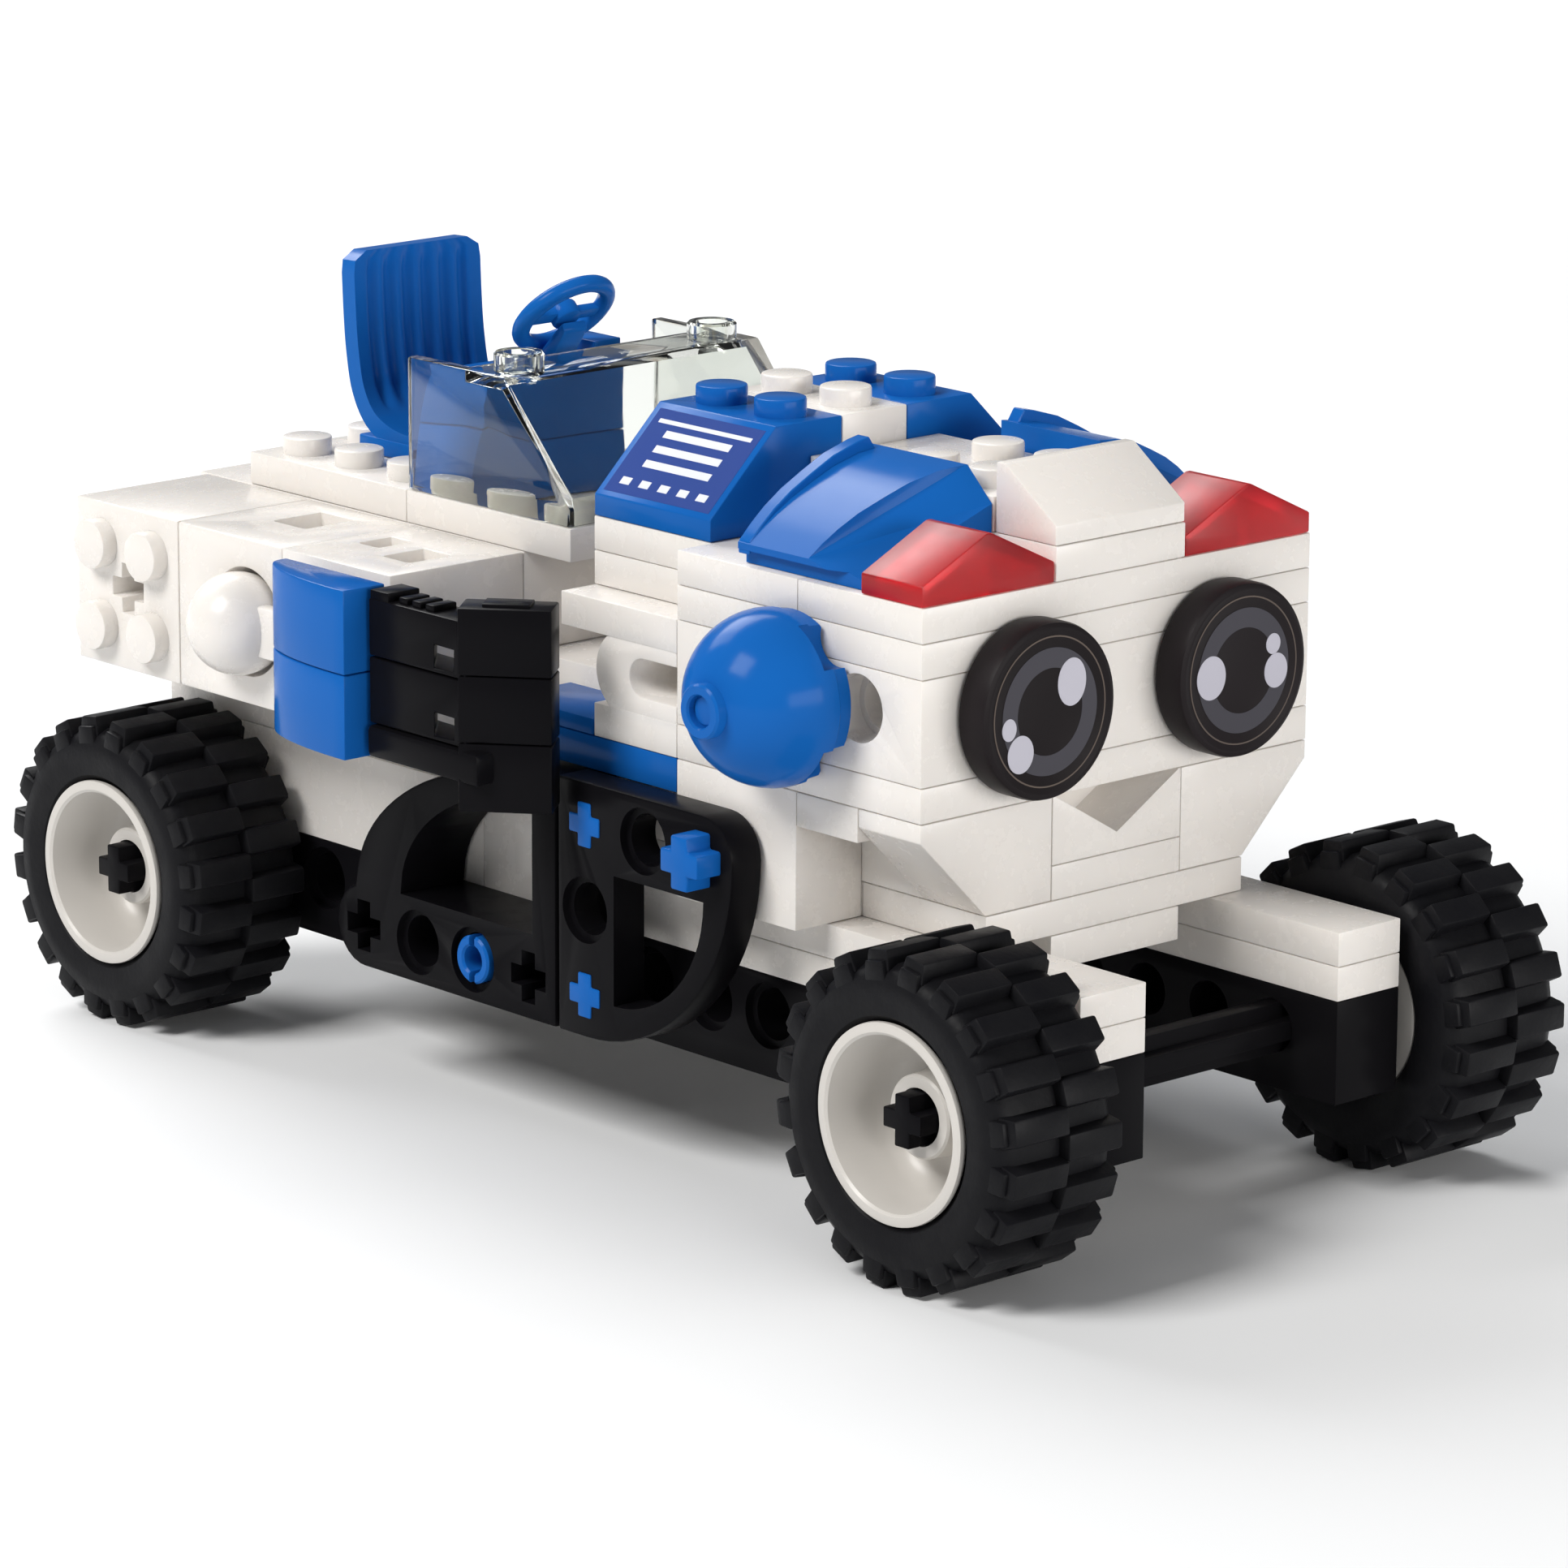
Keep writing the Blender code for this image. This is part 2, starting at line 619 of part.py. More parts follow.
def add_rear_frame(name, side):
    outer = [(44.2, -39.8), (72, -39.8)] + arc((72, -35.8), (4, 4), -60, 60, 4)
    outer += arc((44.2, -32.0), (29.0, 15.6), 8, 90, 9)
    inner = [(47.4, -31.6), (66.5, -31.6)] + arc((47.4, -31.6), (19.1, 12.4), 12, 90, 7)
    shape, hollow = panel(outer, inner, side, 20.3, FRAME_OUT)
    obj = mesh_object("side_frame_rear_" + name, shape, PARTS)
    cut(obj, hollow)
    for hole_y in (48, 56, 64, 72):
        centre = (side * 24, hole_y, AXLE_Z)
        cut(obj, cylinder_mesh("x", centre, PIN_RADIUS, -6, 6, 14))
    return paint(obj, BLACK, 0.3)


def add_front_frame(name, side):
    corner = (40.0, -19.8)
    outer = [(43.8, -15.8), (24.0, -15.8)] + arc((24, -19.8), (4, 4), 90, 180, 4)[1:]
    outer += arc(corner, (20, 20), 180, 270, 9)[1:] + [(43.8, -39.8)]
    inner = [(36.0, -23.8)] + arc((36.0, -23.8), (12.2, 12.2), 180, 270, 7)
    shape, hollow = panel(outer, inner, side, 24.3, FRAME_OUT)
    obj = mesh_object("side_frame_front_" + name, shape, PARTS)
    cut(obj, hollow)
    for hole_y, hole_z in ((40, -19.8), (32, -19.8), (24, -19.8), (40, -27.8), (40, -35.8)):
        centre = (side * 26, hole_y, hole_z)
        cut(obj, cylinder_mesh("x", centre, PIN_RADIUS, -6, 6, 14))
    return paint(obj, BLACK, 0.3)


def add_frame_pin(name, side):
    centre = (0, FRAME_PIN_Y, AXLE_Z)
    low, high = span(side, 20.4, 28.3)
    obj = mesh_object("frame_pin_" + name, cylinder_mesh("x", centre, 2.2, low, high, 14), PARTS)
    return paint(obj, BLUE)


for beam_name, beam_side in (("chassis_beam_left", -1), ("chassis_beam_right", 1)):
    add_beam(beam_name, beam_side)
for axle_name, place in (("front_axle", AXLE_Y[0]), ("rear_axle", AXLE_Y[1])):
    add_axle(axle_name, place)
for end_name, place in (("front", AXLE_Y[0]), ("rear", AXLE_Y[1])):
    for side_name, sign in (("left", -1), ("right", 1)):
        add_wheel(f"{end_name}_{side_name}", sign, place)
add_body()
add_head()
add_jaw()
add_crown()
add_cab()
add_windscreen()
add_console()
add_steering_wheel()
add_seat()
for side_name, sign in (("left", -1), ("right", 1)):
    add_hood_slope("hood_slope_" + side_name, sign)
    add_fender("fender_" + side_name, sign)
    add_eye("eye_" + side_name, sign)
    add_ear("ear_" + side_name, sign)
    add_brow("brow_" + side_name, sign)
    add_lamp("lamp_" + side_name, sign)
    add_shoulder(side_name, sign)
    add_side_loop(side_name, sign)
    add_arm(side_name, sign)
    add_forearm(side_name, sign)
    add_rear_frame(side_name, sign)
    add_front_frame(side_name, sign)
    add_frame_pin(side_name, sign)
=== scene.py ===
"""Looks of the brick-built robot car: detailed bricks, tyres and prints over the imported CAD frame.

Lattice positions are in millimetres, as in part.py: x runs to the right of someone facing the
robot, y from the face to the tail, z up from the seam behind the eyes. `at` gives metres.
"""

import math

import bmesh
import bpy
from mathutils import Matrix, Vector


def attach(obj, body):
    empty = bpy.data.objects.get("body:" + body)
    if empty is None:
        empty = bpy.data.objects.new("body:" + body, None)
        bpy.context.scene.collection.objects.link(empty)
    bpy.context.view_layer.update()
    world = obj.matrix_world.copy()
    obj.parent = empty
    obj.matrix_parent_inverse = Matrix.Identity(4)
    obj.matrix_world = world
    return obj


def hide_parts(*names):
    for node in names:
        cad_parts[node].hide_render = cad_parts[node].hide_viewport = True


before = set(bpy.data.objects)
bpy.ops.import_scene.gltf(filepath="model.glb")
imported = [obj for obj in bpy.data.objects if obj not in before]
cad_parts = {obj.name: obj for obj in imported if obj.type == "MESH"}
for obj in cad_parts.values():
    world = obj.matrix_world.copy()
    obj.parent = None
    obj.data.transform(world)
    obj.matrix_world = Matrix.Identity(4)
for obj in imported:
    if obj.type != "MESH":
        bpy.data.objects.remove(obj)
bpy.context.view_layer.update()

MM = 0.001
STUD = 8.0
PLATE = 3.2
BRICK = 9.6
SEAM = 0.03
EDGE = 0.12
STUD_RADIUS = 2.4
STUD_HEIGHT = 1.7
CENTRE_Y = 48.0
GROUND_Z = -51.0
AXLE_Z = -35.8
FRONT_Y = -8.0
REAR_Y = 104.0
WHEEL_X = 28.0
CAR = "car_body"
SIDES = (("left", -1), ("right", 1))


def at(x, y, z):
    return Vector((x, y - CENTRE_Y, z - GROUND_Z)) * MM


# Materials. Every plastic has a slow colour drift, fine moulding grain and faint handling marks.
class Nodes:
    """A small helper that adds and wires shader nodes."""

    def __init__(self, name):
        self.material = bpy.data.materials.new(name)
        self.material.use_nodes = True
        self.tree = self.material.node_tree
        self.shader = self.tree.nodes["Principled BSDF"]
        self.place = self.tree.nodes.new("ShaderNodeTexCoord").outputs["Object"]

    def add(self, kind, **inputs):
        node = self.tree.nodes.new(kind)
        for key, value in inputs.items():
            node.inputs[key.replace("_", " ")].default_value = value
        return node

    def wire(self, source, target):
        self.tree.links.new(source, target)

    def noise(self, scale, detail=2.0, rough=0.5):
        node = self.add("ShaderNodeTexNoise", Scale=scale, Detail=detail, Roughness=rough)
        self.wire(self.place, node.inputs["Vector"])
        return node.outputs["Fac"]

    def ramp(self, source, low, high, first, last):
        node = self.add("ShaderNodeMapRange")
        for key, value in (("From Min", low), ("From Max", high), ("To Min", first), ("To Max", last)):
            node.inputs[key].default_value = value
        self.wire(source, node.inputs["Value"])
        return node.outputs["Result"]

    def mix(self, fac, first, last):
        node = self.tree.nodes.new("ShaderNodeMix")
        node.data_type = "RGBA"
        node.inputs[6].default_value = (*first, 1.0)
        node.inputs[7].default_value = (*last, 1.0)
        self.wire(fac, node.inputs[0])
        return node.outputs[2]

    def bump(self, height, strength, distance, under=None):
        node = self.add("ShaderNodeBump", Strength=strength, Distance=distance)
        self.wire(height, node.inputs["Height"])
        if under:
            self.wire(under, node.inputs["Normal"])
        return node.outputs["Normal"]


def plastic(name, colour, shade, roughness=0.16, soft=0.0, coat=0.0, wave=0.03, shine=0.5):
    """Moulded ABS: colour drifts towards shade, roughness carries faint handling marks."""
    n = Nodes(name)
    n.wire(n.mix(n.ramp(n.noise(45, 1), 0.3, 0.75, 0, 1), colour, shade), n.shader.inputs["Base Color"])
    marks = n.ramp(n.noise(450, 4, 0.65), 0.5, 0.85, roughness, roughness + 0.08)
    n.wire(marks, n.shader.inputs["Roughness"])
    grain = n.bump(n.noise(2600, 2), 0.04, 0.00003)
    n.wire(n.bump(n.noise(110, 1), wave, 0.00012, grain), n.shader.inputs["Normal"])
    n.shader.inputs["Subsurface Weight"].default_value = soft
    n.shader.inputs["Subsurface Radius"].default_value = (0.9, 0.7, 0.5)
    n.shader.inputs["Subsurface Scale"].default_value = 0.0012
    n.shader.inputs["Coat Weight"].default_value = coat
    n.shader.inputs["Coat Roughness"].default_value = 0.06
    n.shader.inputs["IOR"].default_value = 1.53
    n.shader.inputs["Specular IOR Level"].default_value = shine
    return n.material


def rubber(name):
    n = Nodes(name)
    dust = n.ramp(n.noise(160, 5, 0.7), 0.4, 0.8, 0, 1)
    n.wire(n.mix(dust, (0.006, 0.006, 0.0075), (0.010, 0.010, 0.011)), n.shader.inputs["Base Color"])
    n.wire(n.ramp(n.noise(300, 4), 0.3, 0.8, 0.38, 0.58), n.shader.inputs["Roughness"])
    n.wire(n.bump(n.noise(1900, 3), 0.25, 0.0001), n.shader.inputs["Normal"])
    n.shader.inputs["Specular IOR Level"].default_value = 0.1
    return n.material


def clear(name, colour, roughness, tint_low, through=1.0, shine=0.5):
    n = Nodes(name)
    n.wire(n.mix(n.ramp(n.noise(60, 2), 0.3, 0.7, 0, 1), colour, tint_low), n.shader.inputs["Base Color"])
    n.wire(n.ramp(n.noise(500, 4), 0.4, 0.8, roughness, roughness + 0.06), n.shader.inputs["Roughness"])
    n.wire(n.bump(n.noise(140, 1), 0.15, 0.0001), n.shader.inputs["Normal"])
    n.shader.inputs["Transmission Weight"].default_value = through
    n.shader.inputs["Specular IOR Level"].default_value = shine
    n.shader.inputs["IOR"].default_value = 1.49
    return n.material


WHITE = plastic("white_abs", (0.80, 0.765, 0.725), (0.785, 0.75, 0.708), soft=0.12, roughness=0.26, shine=0.4)
BLUE = plastic("blue_abs", (0.008, 0.115, 0.43), (0.007, 0.106, 0.40), roughness=0.17, shine=0.06)
BLACK = plastic("black_abs", (0.0045, 0.0043, 0.0055), (0.006, 0.0057, 0.0066), roughness=0.3, shine=0.04)
EYE_BLACK = plastic("eye_black", (0.014, 0.0115, 0.0125), (0.018, 0.0145, 0.016), roughness=0.4, wave=0.1, shine=0.06)
# The rims are the same white plastic, given a darker grey as painted shade for the shadow inside the wheel's dish.
RIM_WHITE_PAINTED_SHADE = plastic("rim_abs_painted_shade", (0.60, 0.575, 0.54), (0.56, 0.535, 0.50), roughness=0.3, shine=0.3)
RUBBER = rubber("tyre_rubber")
RED = clear("red_clear", (0.90, 0.008, 0.02), 0.36, (0.82, 0.007, 0.018), through=0.8, shine=0.05)
CLEAR = clear("colourless_clear", (0.93, 0.94, 0.90), 0.015, (0.90, 0.92, 0.87))
PRINT_DARK = plastic("print_dark", (0.013, 0.012, 0.014), (0.018, 0.017, 0.019), roughness=0.3, wave=0.1)
PRINT_GREY = plastic("print_grey", (0.062, 0.060, 0.072), (0.055, 0.053, 0.064), roughness=0.35, wave=0.1, shine=0.1)
PRINT_RIM = plastic("print_rim", (0.12, 0.095, 0.08), (0.10, 0.08, 0.07), roughness=0.35, wave=0.1, shine=0.1)
PRINT_LIGHT = plastic("print_light", (0.50, 0.49, 0.56), (0.46, 0.45, 0.52), roughness=0.3, wave=0.1)
PRINT_WHITE = plastic("print_white", (0.66, 0.68, 0.74), (0.62, 0.64, 0.70), roughness=0.35, wave=0.1, shine=0.2)
PRINT_NAVY = plastic("print_navy", (0.006, 0.04, 0.24), (0.005, 0.036, 0.22), roughness=0.35, wave=0.1, shine=0.05)


# Shapes, each a bmesh in lattice millimetres.
def rounded(bm, width, segments=2, sharpest=0.35):
    """Bevels the edges whose faces meet at a clear angle."""
    if width:
        edges = [e for e in bm.edges if len(e.link_faces) == 2 and e.calc_face_angle(0) > sharpest]
        bmesh.ops.bevel(
            bm, geom=edges, offset=width, segments=segments, profile=0.5, affect="EDGES", clamp_overlap=True
        )
    return bm


def box(x, y, z, edge=EDGE, seam=SEAM):
    bm = bmesh.new()
    bmesh.ops.create_cube(bm, size=1.0)
    sizes = [high - low - 2 * seam for low, high in (x, y, z)]
    centre = [(low + high) / 2 for low, high in (x, y, z)]
    bmesh.ops.scale(bm, vec=sizes, verts=bm.verts)
    bmesh.ops.translate(bm, vec=centre, verts=bm.verts)
    return rounded(bm, edge)


def prism(profile, axis, low, high, edge=EDGE, segments=2, sharpest=0.35):
    """Extrudes an outline along an axis; its points are (y, z), (x, z) or (x, y)."""
    bm = bmesh.new()
    order = {"x": (2, 0, 1), "y": (0, 2, 1), "z": (0, 1, 2)}[axis]
    corners = []
    for first, second in profile:
        place = (first, second, low)
        corners.append(bm.verts.new([place[i] for i in order]))
    face = bm.faces.new(corners)
    grown = bmesh.ops.extrude_face_region(bm, geom=[face])["geom"]
    along = [0.0, 0.0, 0.0]
    along[order.index(2)] = high - low
    bmesh.ops.translate(bm, vec=along, verts=[g for g in grown if isinstance(g, bmesh.types.BMVert)])
    bmesh.ops.recalc_face_normals(bm, faces=bm.faces)
    return rounded(bm, edge, segments, sharpest)


AXIS_TURNS = {
    "x": Matrix.Rotation(math.radians(90), 3, "Y"),
    "y": Matrix.Rotation(math.radians(-90), 3, "X"),
    "z": Matrix.Identity(3),
}


def aligned(bm, axis, centre):
    bmesh.ops.rotate(bm, matrix=AXIS_TURNS[axis], verts=bm.verts)
    bmesh.ops.translate(bm, vec=centre, verts=bm.verts)
    return bm


def turned(profile, axis, centre, steps=48, closed=False):
    """Spins (along, radius) points about an axis through centre."""
    bm = bmesh.new()
    verts = [bm.verts.new((radius, 0.0, along)) for along, radius in profile]
    edges = [bm.edges.new(pair) for pair in zip(verts, verts[1:])]
    if closed:
        edges.append(bm.edges.new((verts[-1], verts[0])))
    bmesh.ops.spin(
        bm, geom=verts + edges, cent=(0, 0, 0), axis=(0, 0, 1), angle=2 * math.pi, steps=steps, use_merge=True
    )
    bmesh.ops.remove_doubles(bm, verts=bm.verts, dist=1e-4)
    bmesh.ops.recalc_face_normals(bm, faces=bm.faces)
    return aligned(bm, axis, centre)


def rod(axis, centre, radius, low, high, edge=EDGE, steps=40):
    e = edge
    profile = [(low, 0), (low, radius - e), (low + e * 0.3, radius - e * 0.3), (low + e, radius)]
    profile += [(high - e, radius), (high - e * 0.3, radius - e * 0.3), (high, radius - e), (high, 0)]
    return turned(profile, axis, centre, steps)


def stud(x, y, top):
    return rod("z", (x, y, top), STUD_RADIUS, -0.5, STUD_HEIGHT, 0.22, 32)


def side_stud(side, face_x, y, z):
    low, high = sorted((-0.5 * side, STUD_HEIGHT * side))
    return rod("x", (side * face_x, y, z), STUD_RADIUS, low, high, 0.22, 32)


def ball(centre, radius, steps=40):
    bm = bmesh.new()
    bmesh.ops.create_uvsphere(bm, u_segments=steps, v_segments=steps // 2, radius=radius)
    bmesh.ops.translate(bm, vec=centre, verts=bm.verts)
    return bm


def cross(axis, centre, reach, half, low, high, edge=0.1):
    """A cross-shaped bar along an axis."""
    r, w = reach, half
    corners = [(w, -r), (w, -w), (r, -w), (r, w), (w, w), (w, r)]
    corners += [(-a, -b) for a, b in corners]
    bm = prism(corners, "z", low, high, edge)
    return aligned(bm, axis, centre)


def span(side, low, high):
    return tuple(sorted((side * low, side * high)))


def flipped(side, profile):
    return [(side * first, second) for first, second in profile]


def arc(centre, radii, start, end, steps):
    points = []
    for i in range(steps + 1):
        angle = math.radians(start + (end - start) * i / steps)
        points.append((centre[0] + radii[0] * math.cos(angle), centre[1] + radii[1] * math.sin(angle)))
    return points


def merged(shapes):
    whole = bmesh.new()
    for bm in shapes:
        mesh = bpy.data.meshes.new("part")
        bm.to_mesh(mesh)
        bm.free()
        whole.from_mesh(mesh)
        bpy.data.meshes.remove(mesh)
    return whole


def piece(name, shapes, material, body=CAR, replaces=(), smooth=38):
    """Makes one piece from lattice shapes, gives it a material and ties it to the frame."""
    bm = merged(shapes if isinstance(shapes, (list, tuple)) else [shapes])
    for vertex in bm.verts:
        vertex.co = at(*vertex.co)
    mesh = bpy.data.meshes.new(name)
    bm.to_mesh(mesh)
    bm.free()
    mesh.materials.append(material)
    mesh.shade_smooth()
    mesh.set_sharp_from_angle(angle=math.radians(smooth))
    obj = bpy.data.objects.new(name, mesh)
    bpy.context.scene.collection.objects.link(obj)
    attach(obj, body)
    if replaces:
        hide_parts(*replaces)
    return obj


def carved(shape, cutters, edge=0.12, solver="EXACT"):
    """The shape with each cutter taken away and its new edges rounded, as a bmesh."""
    def loose(bm):
        mesh = bpy.data.meshes.new("carving")
        bm.to_mesh(mesh)
        bm.free()
        obj = bpy.data.objects.new("carving", mesh)
        bpy.context.scene.collection.objects.link(obj)
        return obj

    target = loose(shape)
    helpers = [loose(cutter) for cutter in cutters]
    for helper in helpers:
        modifier = target.modifiers.new("Cut", "BOOLEAN")
        modifier.operation = "DIFFERENCE"
        modifier.solver = solver
        modifier.object = helper
    if edge:
        bevel = target.modifiers.new("Round", "BEVEL")
        bevel.width = edge
        bevel.segments = 2
        bevel.limit_method = "ANGLE"
        bevel.angle_limit = math.radians(50)
        bevel.use_clamp_overlap = True
    graph = bpy.context.evaluated_depsgraph_get()
    mesh = bpy.data.meshes.new_from_object(target.evaluated_get(graph))
    bm = bmesh.new()
    bm.from_mesh(mesh)
    for obj in [target] + helpers:
        bpy.data.objects.remove(obj, do_unlink=True)
    return bm


# Head: plates and bricks around the face, with the recess behind each lower corner.
def build_head():
    bricks = [
        box((-24, 24), (0, 16), (PLATE, 2 * PLATE)),
        box((-24, 24), (16, 32), (PLATE, 2 * PLATE)),
        box((-24, 24), (0, 32), (0, PLATE)),
        box((-24, 24), (0, 32), (-12.8, -9.6)),
        box((-16, 16), (0, 32), (-9.6, 0)),
        box((-16, 16), (8, 32), (-22.4, -12.8)),
        box((-8, 8), (0, 8), (-22.4, -19.2)),
        box((-16, 16), (0, 16), (-25.6, -22.4)),
        box((-16, 16), (16, 32), (-25.6, -22.4)),
        box((-8, 8), (0, 16), (-28.8, -25.6)),
    ]
    for _, side in SIDES:
        corner = [(8.05, -22.35), (16.0, -22.35), (23.95, -14.5), (23.95, -12.85), (8.05, -12.85)]
        bricks.append(prism(flipped(side, corner), "y", 0.05, 7.95))
        bricks.append(box(span(side, 16, 24), (8, 16), (-16, -12.8)))
        bricks.append(box(span(side, 16, 24), (16, 32), (-25.6, -12.8)))
        bricks.append(box(span(side, 16, 24), (16, 32), (-9.6, 0)))
        hole = rod("x", (side * 24, 8, -3.8), 3.1, -3, 3, 0.01)
        lip = rod("x", (side * 24, 8, -3.8), 2.45, -9, 9, 0.01)
        bricks.append(carved(box(span(side, 16, 24), (0, 16), (-9.6, 0)), [hole, lip]))
    piece("head_bricks", bricks, WHITE, replaces=["head", "jaw"])
    lip = carved(
        box((-8, 8), (0, 8), (-19.2, -12.8)),
        [prism([(-7.6, -12.0), (-7.6, -12.9), (0, -17.4), (7.6, -12.9), (7.6, -12.0)], "y", -1, 6.6, 0)],
    )
    piece("mouth_brick", lip, WHITE)


def build_crown():
    low = 2 * PLATE
    bricks = [
        box((-8, 8), (0, 8), (low, low + PLATE)),
        box((-8, 8), (8, 32), (low, low + PLATE)),
        box((-8, 8), (8, 32), (low + PLATE, low + 2 * PLATE)),
    ]
    bricks += [stud(x, y, low + 2 * PLATE - SEAM) for x in (-4, 4) for y in (12, 20)]
    piece("crown_plates", bricks, WHITE, replaces=["crown"])
    base = low + PLATE + SEAM
    top = low + 3 * PLATE - SEAM
    profile = [(0.15, base), (7.75, base), (7.75, top), (6.6, top), (0.15, base + 1.75)]
    piece("nose_slope_brick", prism(profile, "x", -7.95, 7.95), WHITE, replaces=["nose_slope"])


BROW_CURVE = (
    (23.9, 8.4), (22.5, 9.6), (21.0, 10.7), (19.0, 11.9), (16.6, 13.0), (14.0, 14.1), (11.0, 14.9), (8.1, 15.2),
)
BROW_FACET = ((8.0, 8.05, 12.2), (24.0, 8.05, 6.7), (24.0, 14.7, 8.4), (8.0, 11.3, 15.3))
RIDGE_RISE = (0.2, 0.35, 0.5, 0.65, 0.8, 0.95, 1.05, 1.1)


def hull(points):
    bm = bmesh.new()
    for point in points:
        bm.verts.new(point)
    bmesh.ops.convex_hull(bm, input=bm.verts)
    return bm


def build_brow(name, side):
    """A curved slope with a leaning front facet, a ridge along its back and a step under its lip."""
    low = 2 * PLATE + SEAM
    profile = [(8.1, low), (22.9, low), (22.9, 7.7), (23.9, 7.8)] + list(BROW_CURVE)
    slope = prism(flipped(side, profile), "y", 8.1, 23.9, 0)
    front = [(side * x, y, z) for x, y, z in BROW_FACET]
    front += [(x, y, 25) for x, y, z in front] + [(x, 5, z) for x, y, z in front]
    slope = carved(slope, [hull(front)], 0.14)
    ridge = [(8.3, 14.3)] + [(x, z - 1) for x, z in BROW_CURVE[::-1][1:]]
    ridge += [(x - 0.1, z + rise) for (x, z), rise in zip(BROW_CURVE, RIDGE_RISE)][:-1] + [(9.6, 16.2)]
    ridge = prism(flipped(side, ridge), "y", 22.4, 23.9, 0.12, 2, 0.5)
    piece("brow_slope_" + name, [slope, ridge], BLUE, replaces=["brow_" + name], smooth=16)


def build_lamp(name, side):
    """A clear red roof over the eye, hollow inside with a web in the middle."""
    low = 2 * PLATE + SEAM
    profile = [(8.1, low), (23.9, low), (23.9, low + 1.85), (16.25, low + 5.5), (15.75, low + 5.5), (8.1, low + 1.85)]
    shell = prism(flipped(side, profile), "y", 0.1, 7.9, 0.15)
    rooms = []
    for inner, outer, peak in ((9.4, 15.4, 15.4), (16.6, 22.6, 16.6)):
        edge = outer if peak == inner else inner
        room = [(inner, low - 1), (outer, low - 1)]
        if peak == inner:
            room += [(outer, low + 1.2), (inner, low + 3.9)]
        else:
            room += [(outer, low + 3.9), (inner, low + 1.2)]
        rooms.append(prism(flipped(side, room), "y", 1.3, 6.7, 0))
    piece("lamp_shell_" + name, carved(shell, rooms, 0.05), RED, replaces=["lamp_" + name])


# Eyes: a black tile with a printed iris, rim and highlights.
EYE_Z = -3.9
HIGHLIGHTS = {
    "left": ((2.6, 2.3, 1.7, 2.15), (-3.5, -3.3, 1.55, 1.7), (-4.9, -0.9, 0.85, 1.0)),
    "right": ((-4.1, -0.1, 1.8, 2.0), (4.1, -0.6, 1.45, 1.6), (3.7, 1.9, 0.9, 0.95)),
}


def disc(x, z, face_y, radii, thickness, steps=56):
    outline = arc((x, z), radii, 0, 360, steps)[:-1]
    return prism(outline, "y", face_y - thickness, face_y, 0)


def band(x, z, face_y, inner, outer, thickness):
    profile = [(face_y, inner), (face_y, outer), (face_y - thickness, outer), (face_y - thickness, inner)]
    return turned(profile, "y", (x, 0, z), 72, closed=True)


def build_eye(name, side):
    x = side * 12.0
    face = [(-0.1, 0), (-0.1, 7.5), (-0.35, 7.85), (-0.8, 7.98), (-3.05, 7.98), (-3.45, 7.85)]
    face += [(-3.62, 7.5), (-3.62, 7.3), (-3.55, 7.2), (-3.55, 0)]
    piece("eye_tile_" + name, turned(face, "y", (x, 0, EYE_Z), 72), EYE_BLACK, replaces=["eye_" + name])
    front = -3.55
    piece("eye_rim_line_" + name, band(x, EYE_Z, front, 6.62, 6.76, 0.02), PRINT_RIM)
    piece("eye_iris_" + name, band(x, EYE_Z, front, 3.9, 5.7, 0.02), PRINT_GREY)
    for number, (dx, dz, across, up) in enumerate(HIGHLIGHTS[name]):
        shape = disc(x + dx, EYE_Z + dz, front, (across, up), 0.05)
        piece(f"eye_highlight_{name}_{number}", shape, PRINT_LIGHT)


def build_ear(name, side):
    """A dome with a notched base and a hollow stud at its tip."""
    centre = (side * 24, 16, -3.8)
    dome = [(0.2, 0), (0.2, 7.3), (0.5, 7.6), (1.8, 7.7), (2.1, 7.95), (2.9, 8.0)]
    dome += [(2.9 + along, radius) for radius, along in arc((0, 0), (8, 7.9), 6, 80, 20)]
    dome += [(10.8, 1.2), (10.8, 0)]
    shapes = [turned([(side * a, r) for a, r in dome], "x", centre, 64)]
    tip = [(9.6, 0), (9.6, 2.5), (11.3, 2.5), (11.5, 2.3), (11.5, 1.6), (11.3, 1.45), (10.3, 1.45), (10.3, 0)]
    shapes.append(turned([(side * a, r) for a, r in tip], "x", centre, 40))
    notches = []
    for turn in range(0, 360, 90):
        y = 16 + 8.2 * math.cos(math.radians(turn + 45))
        z = -3.8 + 8.2 * math.sin(math.radians(turn + 45))
        notches.append(rod("x", (side * 24, y, z), 2.5, *sorted((-side * 0.5, side * 3.2)), 0.01))
    shapes[0] = carved(shapes[0], notches, 0)
    low, high = sorted((-side * 6.4, side * 1.0))
    shapes.append(rod("x", centre, 2.2, low, high))
    piece("ear_dome_" + name, shapes, BLUE, body=name + "_ear", replaces=["ear_" + name], smooth=32)


# Hood: printed slopes each side of a studded middle.
HOOD_LOW = 2 * PLATE
HOOD_TOP = 2 * PLATE + BRICK - SEAM


def build_hood():
    bricks = [
        box((-20, 20), (32, 48), (0, PLATE)),
        box((-20, 20), (32, 48), (PLATE, 2 * PLATE)),
        box((-4, 4), (32, 48), (HOOD_LOW, HOOD_LOW + BRICK)),
        stud(0, 36, HOOD_TOP),
        stud(0, 44, HOOD_TOP),
    ]
    piece("hood_bricks", bricks, WHITE, replaces=["hood_base"])
    for name, side in SIDES:
        low = HOOD_LOW + SEAM
        profile = [(19.95, low), (19.95, low + 2.0), (12.1, HOOD_TOP), (4.05, HOOD_TOP), (4.05, low)]
        shapes = [prism(flipped(side, profile), "y", 32.05, 47.95)]
        shapes += [stud(side * 8, y, HOOD_TOP) for y in (36, 44)]
        piece("hood_slope_brick_" + name, shapes, BLUE, replaces=["hood_slope_" + name])
        build_hood_print(name, side, Vector((side * 19.95, 40, low + 2.0)), Vector((side * 12.1, 40, HOOD_TOP)))


